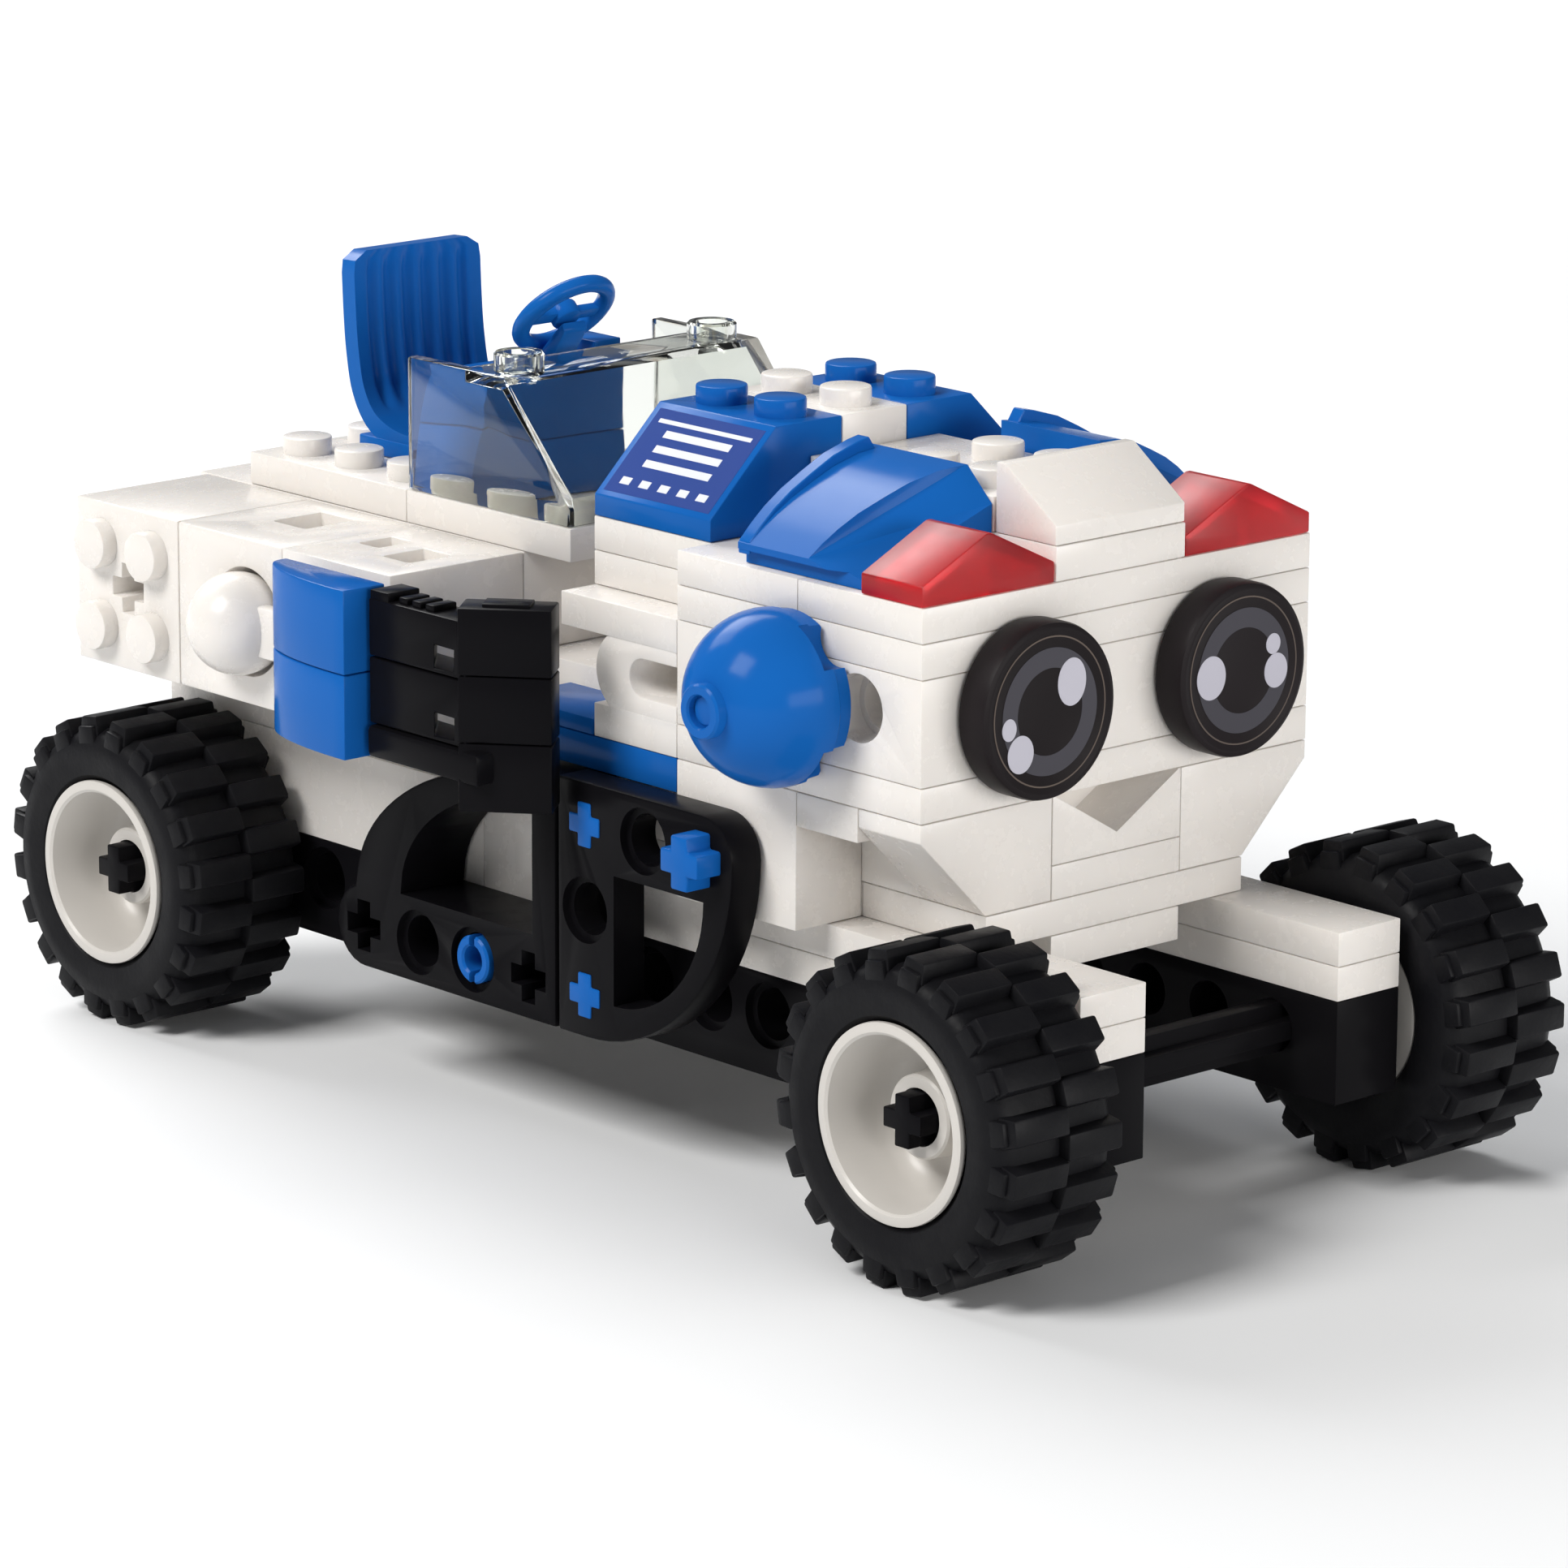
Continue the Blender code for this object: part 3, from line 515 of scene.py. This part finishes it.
# Print on a hood slope: (along the ridge, up the slope, length, height), in millimetres.
HOOD_BARS = ((0.0, 8.9, 12.6, 0.45), (0.0, 7.6, 9.0, 0.8), (0.0, 5.9, 9.0, 0.8), (0.0, 4.2, 9.0, 0.8))
HOOD_DOTS = tuple((x, 2.0, 1.3, 0.8) for x in (-5.2, -2.6, 0.0, 2.6, 5.2))


def build_hood_print(name, side, foot, head):
    up = (head - foot).normalized()
    out = Vector((side * -up.z * -1, 0, abs(up.x)))
    out = Vector((side * abs(up.z), 0, abs(up.x)))
    ridge = Vector((0, 1, 0))

    def patch(mark, lift):
        along, height, length, tall = mark
        bm = bmesh.new()
        bmesh.ops.create_cube(bm, size=1.0)
        bmesh.ops.scale(bm, vec=(length, tall, 0.03), verts=bm.verts)
        for vertex in bm.verts:
            spot = vertex.co.copy()
            place = foot + ridge * (along + spot.x) + up * (height + spot.y) + out * (lift + spot.z)
            vertex.co = place
        bmesh.ops.recalc_face_normals(bm, faces=bm.faces)
        return bm

    panel = patch((0.0, 5.4, 14.4, 9.6), 0.0)
    piece("hood_print_panel_" + name, panel, PRINT_NAVY)
    marks = [patch(mark, 0.02) for mark in HOOD_BARS + HOOD_DOTS]
    piece("hood_print_marks_" + name, marks, PRINT_WHITE)


# Cab: studded plate, windscreen, console, steering wheel and ribbed seat.
SCREEN_TOP = 5 * PLATE


def build_cab():
    bricks = [box((-16, 16), (56, 80), (0, PLATE)), box((-16, 16), (80, 104), (0, PLATE))]
    bricks += [stud(x, y, PLATE - SEAM) for x in (-12, 12) for y in (60, 68, 76, 84, 92, 100)]
    bricks += [stud(x, 100, PLATE - SEAM) for x in (-4, 4)]
    piece("cab_plates", bricks, WHITE, replaces=["cab_plate"])
    console = [
        box((-8, 8), (76.6, 83.7), (PLATE, 7.5)),
        box((-8, 8), (76.6, 83.7), (7.5, 13.4)),
        box((4.6, 8), (76.6, 83.7), (13.3, 15.4)),
        prism([(76.8, 13), (78.9, 13), (78.0, 14.6), (75.5, 17.1), (74.2, 18.3), (73.8, 17.4)], "x", -1.5, 1.5, 0.3),
    ]
    piece("console_bricks", console, BLUE, replaces=["console"])


def build_windscreen():
    low = PLATE + SEAM
    outer = [(56.2, low), (79.8, low), (79.8, SCREEN_TOP), (65.6, SCREEN_TOP), (56.2, low + 1.7)]
    shell = prism(outer, "x", -15.9, 15.9, 0.25)
    room = [(57.5, low - 2), (82, low - 2), (82, SCREEN_TOP + 2), (72, SCREEN_TOP + 2)]
    room += [(72, 14.5), (66.7, 14.5), (57.5, low + 2.3)]
    shell = carved(shell, [prism(room, "x", -14.6, 14.6, 0)], 0.15)
    studs = []
    for side in (-1, 1):
        tube = [(-0.4, 1.5), (-0.4, 2.4), (1.5, 2.4), (1.7, 2.2), (1.7, 1.5)]
        studs.append(turned(tube, "z", (side * 12, 68, SCREEN_TOP), 40, closed=True))
    piece("windscreen_shell", [shell] + studs, CLEAR, replaces=["windscreen"])


def build_steering_wheel():
    centre = Vector((0.0, 75.7, 18.8))
    tilt = Vector((0.0, 1.0, 1.0)).normalized()
    across = Vector((0.0, 1.0, -1.0)).normalized()
    ring = [(0.85 * math.cos(a), 4.6 + 0.85 * math.sin(a)) for a in [i * math.pi / 8 for i in range(16)]]
    shapes = [
        turned(ring, "z", (0, 0, 0), 64, closed=True),
        rod("z", (0, 0, 0), 1.5, -0.9, 0.75, 0.3),
        box((-4.4, 4.4), (-0.75, 0.75), (-0.5, 0.35), 0.2),
    ]
    for bm in shapes:
        for vertex in bm.verts:
            spot = vertex.co.copy()
            vertex.co = centre + Vector((spot.x, 0, 0)) + across * spot.y + tilt * spot.z
        bmesh.ops.recalc_face_normals(bm, faces=bm.faces)
    piece("steering_ring", shapes, BLUE, body="steering", replaces=["steering_wheel"])


SEAT_PATH = ((84.2, 4.6), (88.5, 4.7), (92.4, 5.2), (95.4, 6.6), (97.2, 9.2), (98.0, 12.6), (98.4, 16.5), (98.7, 22.6))
SEAT_HALF_WIDTH = 7.9


def build_seat():
    """A moulded shell that sweeps up from the cushion to a ribbed back with rounded corners."""
    path = [Vector((0, y, z)) for y, z in SEAT_PATH]
    smooth_path = []
    steps_each = 5
    for i in range(len(path) - 1):
        before = path[max(i - 1, 0)]
        after = path[min(i + 2, len(path) - 1)]
        for j in range(steps_each):
            t = j / steps_each
            a, b = path[i], path[i + 1]
            point = 0.5 * (
                2 * a + (b - before) * t + (2 * before - 5 * a + 4 * b - after) * t * t
                + (3 * a - before - 3 * b + after) * t * t * t
            )
            smooth_path.append(point)
    smooth_path.append(path[-1])
    columns = 64
    bm = bmesh.new()
    fronts, backs = [], []
    for i, point in enumerate(smooth_path):
        ahead = smooth_path[min(i + 1, len(smooth_path) - 1)] - smooth_path[max(i - 1, 0)]
        ahead.normalize()
        normal = Vector((0, -ahead.z, ahead.y))
        top_gap = smooth_path[-1].z - point.z
        corner = 1.6
        half = SEAT_HALF_WIDTH
        if top_gap < corner:
            half -= corner - math.sqrt(max(corner ** 2 - (corner - top_gap) ** 2, 0))
        rise = min(max((point.z - 6.5) / 2.5, 0), 1) * min(max(top_gap / 2.2, 0), 1)
        front, back = [], []
        for k in range(columns + 1):
            x = (2 * k / columns - 1) * half
            inside = min(max((6.4 - abs(x)) / 0.5, 0), 1)
            ripple = 0.32 * rise * inside * (math.cos(2 * math.pi * x / 2.3) - 1)
            front.append(bm.verts.new(Vector((x, 0, 0)) + point + normal * (1.0 + ripple)))
            back.append(bm.verts.new(Vector((x, 0, 0)) + point - normal * 0.95))
        fronts.append(front)
        backs.append(back)
    for i in range(len(smooth_path) - 1):
        for k in range(columns):
            bm.faces.new((fronts[i][k], fronts[i][k + 1], fronts[i + 1][k + 1], fronts[i + 1][k]))
            bm.faces.new((backs[i][k], backs[i + 1][k], backs[i + 1][k + 1], backs[i][k + 1]))
        for k in (0, columns):
            bm.faces.new((fronts[i][k], fronts[i + 1][k], backs[i + 1][k], backs[i][k]))
    for row in (0, -1):
        for k in range(columns):
            bm.faces.new((fronts[row][k], fronts[row][k + 1], backs[row][k + 1], backs[row][k]))
    bmesh.ops.recalc_face_normals(bm, faces=bm.faces)
    foot = box((-8, 8), (84, 97.1), (PLATE, 5.0), 0.2)
    piece("seat_shell", [bm, foot], BLUE, replaces=["seat"], smooth=50)


# Hull and shoulders.
def build_hull():
    notch = box((-26, -17), (53.5, 57.0), (-29.0, -25.5), 0, 0)
    notch_right = box((17, 26), (53.5, 57.0), (-29.0, -25.5), 0, 0)
    bricks = [
        carved(box((-20, 20), (32, 64), (-32, -22.4)), [notch, notch_right]),
        box((-20, 20), (64, 112), (-32, -22.4)),
        box((-20, 20), (32, 80), (-22.4, -19.2)),
        box((-20, 20), (80, 112), (-22.4, -19.2)),
        box((-20, 20), (32, 56), (-19.2, -16)),
        box((-20, 20), (56, 112), (-19.2, -16)),
    ]
    piece("hull_bricks", bricks, WHITE, replaces=["lower_body"])
    deck = [
        box((-16, 16), (32, 48), (-16, 0)),
        box((-15, 15), (48, 62.6), (-16, -9.6)),
        box((-16, 16), (62.7, 112), (-16, -9.6)),
        box((-16, 16), (62.7, 112), (-9.6, 0)),
    ]
    piece("deck_bricks", deck, WHITE, replaces=["deck"])


def build_shoulder(name, side):
    top_slots = [box(span(side, 22, 27), (66, 70), (-4, 2), 0.3, 0), box(span(side, 21, 25), (73, 76), (-3, 2), 0.3, 0)]
    front = [
        carved(box(span(side, 16, 32), (62.7, 78.7), (-9.6, 0)), top_slots),
        box(span(side, 16, 32), (62.7, 78.7), (-16, -9.6)),
    ]
    piece("shoulder_front_block_" + name, front, WHITE, replaces=["shoulder_front_" + name])
    socket = carved(
        box(span(side, 16, 32), (78.7, 94.7), (-16, 0), 0.3),
        [ball((side * BALL[0], BALL[1], BALL[2]), 5.35, 48), box(span(side, 19, 25), (84, 89), (-4, 2), 0.3, 0)],
        0.15,
    )
    piece("shoulder_socket_block_" + name, socket, WHITE, replaces=["shoulder_socket_" + name])
    cross_hole = cross("x", (side * 29, 102.7, -8), 2.45, 0.95, *sorted((-side * 3, side * 5)), 0)
    rear = carved(box(span(side, 16, 32), (94.7, 110.7), (-16, 0), 0.25), [cross_hole], 0.12)
    studs = [side_stud(side, 31.95, y, z) for y in (98.7, 106.7) for z in (-4, -12)]
    piece("shoulder_rear_block_" + name, [rear] + studs, WHITE, replaces=["shoulder_rear_" + name])


LOOP = (39.3, -6.3)


def build_side_loop(name, side):
    """A round-ended bar with a long opening, between a plate above and a plate and a brick below."""
    y, z = LOOP
    outline = [(32.1, z - 4)] + arc(LOOP, (4, 4), -90, 90, 20) + [(32.1, z + 4)]
    opening = [(30, z - 1.75)] + arc((y - 2.5, z), (1.75, 1.75), -90, 90, 12) + [(30, z + 1.75)]
    room = prism(opening, "x", *sorted((side * 17.5, side * 26)), 0)
    bar = carved(prism(outline, "x", *sorted((side * 16.1, side * 23.9)), 0, 2, 0.5), [room], 0.3)
    shapes = [
        box(span(side, 16, 24), (32, 48), (-PLATE, 0)),
        bar,
        box(span(side, 16, 24), (32, 43.4), (-12.8, -9.6)),
    ]
    piece("side_loop_plate_" + name, shapes, WHITE, replaces=["side_loop_" + name])
    bricks = [box(span(side, 16, 24), (32, 56), (-16, -12.8)), box(span(side, 16, 24), (43.6, 56), (-12.8, -11.2))]
    piece("side_brick_plate_" + name, bricks, BLUE, replaces=["side_brick_" + name])


# Arms.
BALL = (33.0, 84.2, -8.0)
COLUMN = (32.4, 44.7)
COLUMN_TURN = math.radians(-50)


def column_outline(half_long, half_deep, shift=-0.4):
    """The end column seen from above; shift moves it along its long side."""
    along = Vector((-math.cos(COLUMN_TURN), math.sin(COLUMN_TURN)))
    deep = Vector((along.y, -along.x))
    middle = Vector(COLUMN) + along * shift
    corners = ((-1, -1), (1, -1), (1, 1), (-1, 1))
    return [tuple(middle + along * (half_long * a) + deep * (half_deep * b)) for a, b in corners]


def build_arm(name, side):
    upper, fore = name + "_upper_arm", name + "_forearm"
    centre = (side * BALL[0], BALL[1], BALL[2])
    link = [ball(centre, 4.9, 48), box(span(side, 32.4, 34.0), (62, 81), (-10.5, -5.5), 0.3)]
    piece("arm_ball_" + name, link, WHITE, body=upper, replaces=["arm_link_" + name])
    curve = arc((60.7, 35.2), (14.5, 3.9), 0, 90, 14)
    outline = [(34.2, 60.7), (34.2, 75.2)] + [(x, y) for y, x in curve[:-1]] + [(39.1, 60.7)]
    slopes = [prism(flipped(side, outline), "z", low, low + 7.9, 0.16, 2, 0.3) for low in (-15.95, -7.95)]
    piece("arm_slopes_" + name, slopes, BLUE, body=upper, replaces=["arm_armour_" + name], smooth=30)
    modules = []
    for low, high in ((-6.3, -0.9), (-12.6, -6.4)):
        block = box(span(side, 32.6, 36.6), (46.4, 60.2), (low, high), 0.2)
        slant = [(38.0, 46.4), (38.0, 49.2), (31.6, 56.3), (31.6, 53.5)]
        window = prism(flipped(side, slant), "z", low + 0.5, low + 2.6, 0)
        modules.append(carved(block, [window], 0.15))
    modules += [box(span(side, 33.2, 36.0), (y, y + 1.3), (-1.2, -0.3), 0.15) for y in (51.5, 53.4, 55.3)]
    modules.append(box(span(side, 32.7, 36.5), (57.4, 60.1), (-1.2, -0.1), 0.15))
    modules.append(box(span(side, 32.6, 37.0), (44.4, 60.2), (-15.8, -12.7), 0.5))
    for low, high in ((-5.8, 0.4), (-12.0, -5.9), (-18.4, -12.1)):
        outline = column_outline(4.3, 2.1)
        modules.append(prism(flipped(side, outline), "z", low, high, 0.2))
    modules.append(prism(flipped(side, column_outline(2.2, 1.3)), "z", 0.2, 0.7, 0.1))
    piece("forearm_hinge_" + name, modules, BLACK, body=fore, replaces=["forearm_" + name])


# Side frames with their pins and cross axles.
def pin_hole(side, y, z, x_low, x_high):
    """A round hole with a wider counterbore at its outer face."""
    through = rod("x", (0, y, z), 2.45, *sorted((side * (x_low - 1), side * (x_high + 1))), 0.01)
    mouth = rod("x", (0, y, z), 3.1, *sorted((side * (x_high - 0.8), side * (x_high + 1))), 0.01)
    return [through, mouth]


def cross_hole(side, y, z, x_low, x_high):
    return [cross("x", (0, y, z), 2.45, 0.95, *sorted((side * (x_low - 1), side * (x_high + 1))), 0)]


def build_rear_frame(name, side):
    low, high = 20.35, 28.0
    outer = [(44.2, -39.8), (72, -39.8)] + arc((72, -35.8), (4, 4), -80, 70, 10)
    outer += arc((44.2, -32.0), (29.0, 15.6), 8, 90, 20)
    inner = [(47.4, -31.6), (66.5, -31.6)] + arc((47.4, -31.6), (19.1, 12.4), 10, 90, 16)
    cuts = [prism(inner, "x", *sorted((side * (low - 2), side * (high + 2))), 0)]
    for y in (56, 64):
        cuts += pin_hole(side, y, AXLE_Z, low, high)
    for y in (48, 72):
        cuts += cross_hole(side, y, AXLE_Z, low, high)
    panel = carved(prism(outer, "x", *sorted((side * low, side * high)), 0.3, 2, 0.5), cuts, 0.15)
    piece("rear_frame_panel_" + name, panel, BLACK, replaces=["side_frame_rear_" + name])
    ring = [(20.5, 1.3), (20.5, 2.3), (27.9, 2.3), (28.1, 2.1), (28.1, 1.5), (27.9, 1.3)]
    pin = turned([(side * a, r) for a, r in ring], "x", (0, 56, AXLE_Z), 40, closed=True)
    pin = carved(pin, [box(span(side, 26.5, 29), (55.6, 56.4), (AXLE_Z - 3, AXLE_Z + 3), 0, 0)], 0.05)
    piece("frame_pin_sleeve_" + name, pin, BLUE, replaces=["frame_pin_" + name])


def build_front_frame(name, side):
    low, high = 24.35, 28.0
    outer = [(43.8, -15.8), (24.0, -15.8)] + arc((24, -19.8), (4, 4), 90, 180, 8)[1:]
    outer += arc((40, -19.8), (20, 20), 180, 270, 20)[1:] + [(43.8, -39.8)]
    inner = [(36.0, -23.8)] + arc((36.0, -23.8), (12.2, 12.2), 180, 270, 14)
    cuts = [prism(inner, "x", *sorted((side * (low - 2), side * (high + 2))), 0)]
    for y, z in ((32, -19.8), (40, -27.8)):
        cuts += pin_hole(side, y, z, low, high)
    panel = carved(prism(outer, "x", *sorted((side * low, side * high)), 0.3, 2, 0.5), cuts, 0.15)
    piece("front_frame_panel_" + name, panel, BLACK, replaces=["side_frame_front_" + name])
    ends = [cross("x", (0, 40, z), 2.1, 0.9, *sorted((side * 25.0, side * 28.15)), 0.2) for z in (-19.8, AXLE_Z)]
    ends.append(cross("x", (0, 24, -19.8), 2.5, 1.1, *sorted((side * 24.2, side * 30.8)), 0.25))
    piece("frame_axle_ends_" + name, ends, BLUE)


# Chassis, fenders, axles and wheels.
def build_chassis():
    for name, side in SIDES:
        low, high = 12.0, 20.0
        cuts = []
        for y in range(-8, 112, 8):
            through = rod("x", (0, y, AXLE_Z), 2.45, *sorted((side * (low - 1), side * (high + 1))), 0.01, 32)
            cuts.append(through)
            cuts.append(rod("x", (0, y, AXLE_Z), 3.1, *sorted((side * (high - 0.9), side * (high + 1))), 0.01, 32))
        beam = carved(box(span(side, low, high), (-16, 112), (-41.6, -32)), cuts, 0.12)
        piece("chassis_beam_brick_" + name, beam, BLACK, replaces=["chassis_beam_" + name])
        plates = [box(span(side, low, high), (-16, 32), (z, z + PLATE)) for z in (-32, -28.8)]
        piece("fender_plates_" + name, plates, WHITE, replaces=["fender_" + name])


TREAD_ROWS = 20


def lug(angle, x, half_width, radius, depth, swell):
    """One tread block, a wedge rooted in the tyre and turned to its place around the wheel."""
    bm = bmesh.new()
    bmesh.ops.create_cube(bm, size=1.0)
    for vertex in bm.verts:
        outside = vertex.co.z > 0
        x_half = half_width * (0.94 if outside else 1.0)
        across = swell * (0.86 if outside else 1.08)
        y = vertex.co.y * 2 * across
        z = radius if outside else radius - depth
        z = math.sqrt(max(z * z - y * y * 0.5, 0))
        vertex.co = (x + vertex.co.x * 2 * x_half, y, z)
    rounded(bm, 0.22, 2)
    bmesh.ops.rotate(bm, matrix=Matrix.Rotation(angle, 3, "X"), verts=bm.verts)
    return bm


def tyre_mesh(side):
    carcass = [(-6.4, 8.5), (5.8, 8.5), (6.1, 9.0), (6.7, 9.5), (7.0, 11.2), (6.9, 12.6), (6.2, 13.5)]
    carcass += [(5.2, 13.9), (0.0, 14.0), (-5.2, 13.9), (-6.2, 13.5), (-6.9, 12.6), (-7.0, 11.2), (-6.8, 9.6)]
    shapes = [turned([(side * a, r) for a, r in carcass], "x", (0, 0, 0), 96, closed=True)]
    for i in range(TREAD_ROWS):
        for row, offset in ((1, 0.0), (-1, 0.5)):
            angle = 2 * math.pi * (i + offset) / TREAD_ROWS
            shapes.append(lug(angle, row * 3.1, 3.35, 15.2, 1.9, 1.35))
            shoulder = lug(angle, row * 6.35, 0.55, 14.3, 2.6, 1.25)
            shapes.append(shoulder)
    return shapes


RIM_PROFILE = (
    (-6.2, 2.6), (-6.2, 8.2), (6.1, 8.2), (6.3, 8.9), (6.6, 9.0), (6.9, 8.95), (7.0, 8.7), (7.0, 8.1),
    (6.8, 7.85), (5.0, 7.6), (2.2, 7.2), (0.9, 6.6), (0.2, 5.6), (0.0, 4.2), (0.3, 3.9), (3.2, 3.75),
    (3.4, 3.55), (3.4, 2.6),
)


def build_wheel(end, axle_y, name, side):
    body = end + "_wheels"
    centre = Vector((side * WHEEL_X, axle_y, AXLE_Z))
    tyre = merged(tyre_mesh(side))
    bmesh.ops.translate(tyre, vec=centre, verts=tyre.verts)
    piece(f"tyre_tread_{end}_{name}", tyre, RUBBER, body=body, replaces=[f"tyre_{end}_{name}"], smooth=35)
    rim = turned([(side * a, r) for a, r in RIM_PROFILE], "x", centre, 96, closed=True)
    piece(f"rim_dish_{end}_{name}", rim, RIM_WHITE_PAINTED_SHADE, body=body, replaces=[f"rim_{end}_{name}"], smooth=35)


def build_axle(end, axle_y):
    bar = cross("x", (0, axle_y, AXLE_Z), 2.35, 0.9, -33.4, 33.4, 0.15)
    piece(end + "_axle_bar", bar, BLACK, body=end + "_wheels", replaces=[end + "_axle"])


# Floor, light and camera.
CAMERA_PLACE = Vector((-0.4354, -0.4854, 0.1929))
CAMERA_AZIMUTH = math.radians(42.12)
CAMERA_TILT = math.radians(14.12)
CAMERA_ROLL = math.radians(0.27)
CAMERA_LENS = 164.64


def build_floor():
    bm = bmesh.new()
    bmesh.ops.create_grid(bm, x_segments=2, y_segments=2, size=6)
    mesh = bpy.data.meshes.new("floor")
    bm.to_mesh(mesh)
    bm.free()
    floor = bpy.data.objects.new("floor", mesh)
    bpy.context.scene.collection.objects.link(floor)
    n = Nodes("pale_paper")
    n.wire(n.mix(n.ramp(n.noise(6, 2), 0.3, 0.7, 0, 1), (0.86, 0.87, 0.88), (0.84, 0.85, 0.86)), n.shader.inputs["Base Color"])
    n.shader.inputs["Roughness"].default_value = 0.8
    mesh.materials.append(n.material)


def soft_light(name, place, target, size, power, colour=(1, 1, 1)):
    light = bpy.data.lights.new(name, "AREA")
    light.shape = "RECTANGLE"
    light.size, light.size_y = size
    light.energy = power
    light.color = colour
    obj = bpy.data.objects.new(name, light)
    obj.location = place
    obj.rotation_euler = (Vector(target) - Vector(place)).to_track_quat("-Z", "Y").to_euler()
    bpy.context.scene.collection.objects.link(obj)


def build_stage():
    build_floor()
    middle = (0, 0, 0.03)
    soft_light("key", (-1.35, 0.2, 1.42), middle, (0.8, 0.8), 33, (1.0, 0.985, 0.965))
    soft_light("front_fill", (0.1, -1.4, 0.26), middle, (1.4, 0.4), 12, (1.0, 0.98, 0.96))
    soft_light("back_sheen", (0.25, 0.95, 0.86), middle, (0.45, 0.45), 2.3)
    soft_light("backdrop_wash", (0.3, 1.6, 1.2), (0.6, 1.6, 0), (1.4, 1.4), 34)
    world = bpy.data.worlds.new("studio")
    world.use_nodes = True
    world.node_tree.nodes["Background"].inputs["Color"].default_value = (0.95, 0.97, 1.0, 1)
    world.node_tree.nodes["Background"].inputs["Strength"].default_value = 0.16
    bpy.context.scene.world = world
    bpy.context.scene.view_settings.view_transform = "Standard"


def build_camera():
    camera = bpy.data.cameras.new("camera")
    camera.lens = CAMERA_LENS
    camera.sensor_width = 36
    camera.clip_start = 0.01
    obj = bpy.data.objects.new("camera", camera)
    forward = Vector((
        math.sin(CAMERA_AZIMUTH) * math.cos(CAMERA_TILT),
        math.cos(CAMERA_AZIMUTH) * math.cos(CAMERA_TILT),
        -math.sin(CAMERA_TILT),
    ))
    turn = forward.to_track_quat("-Z", "Y").to_matrix() @ Matrix.Rotation(CAMERA_ROLL, 3, "Z")
    obj.matrix_world = Matrix.Translation(CAMERA_PLACE) @ turn.to_4x4()
    bpy.context.scene.collection.objects.link(obj)
    bpy.context.scene.camera = obj


build_stage()
build_camera()
build_head()
build_crown()
build_hood()
build_cab()
build_windscreen()
build_steering_wheel()
build_seat()
build_hull()
build_chassis()
for end_name, place_y in (("front", FRONT_Y), ("rear", REAR_Y)):
    build_axle(end_name, place_y)
    for side_name, sign in SIDES:
        build_wheel(end_name, place_y, side_name, sign)
for side_name, sign in SIDES:
    build_brow(side_name, sign)
    build_lamp(side_name, sign)
    build_eye(side_name, sign)
    build_ear(side_name, sign)
    build_shoulder(side_name, sign)
    build_side_loop(side_name, sign)
    build_arm(side_name, sign)
    build_rear_frame(side_name, sign)
    build_front_frame(side_name, sign)
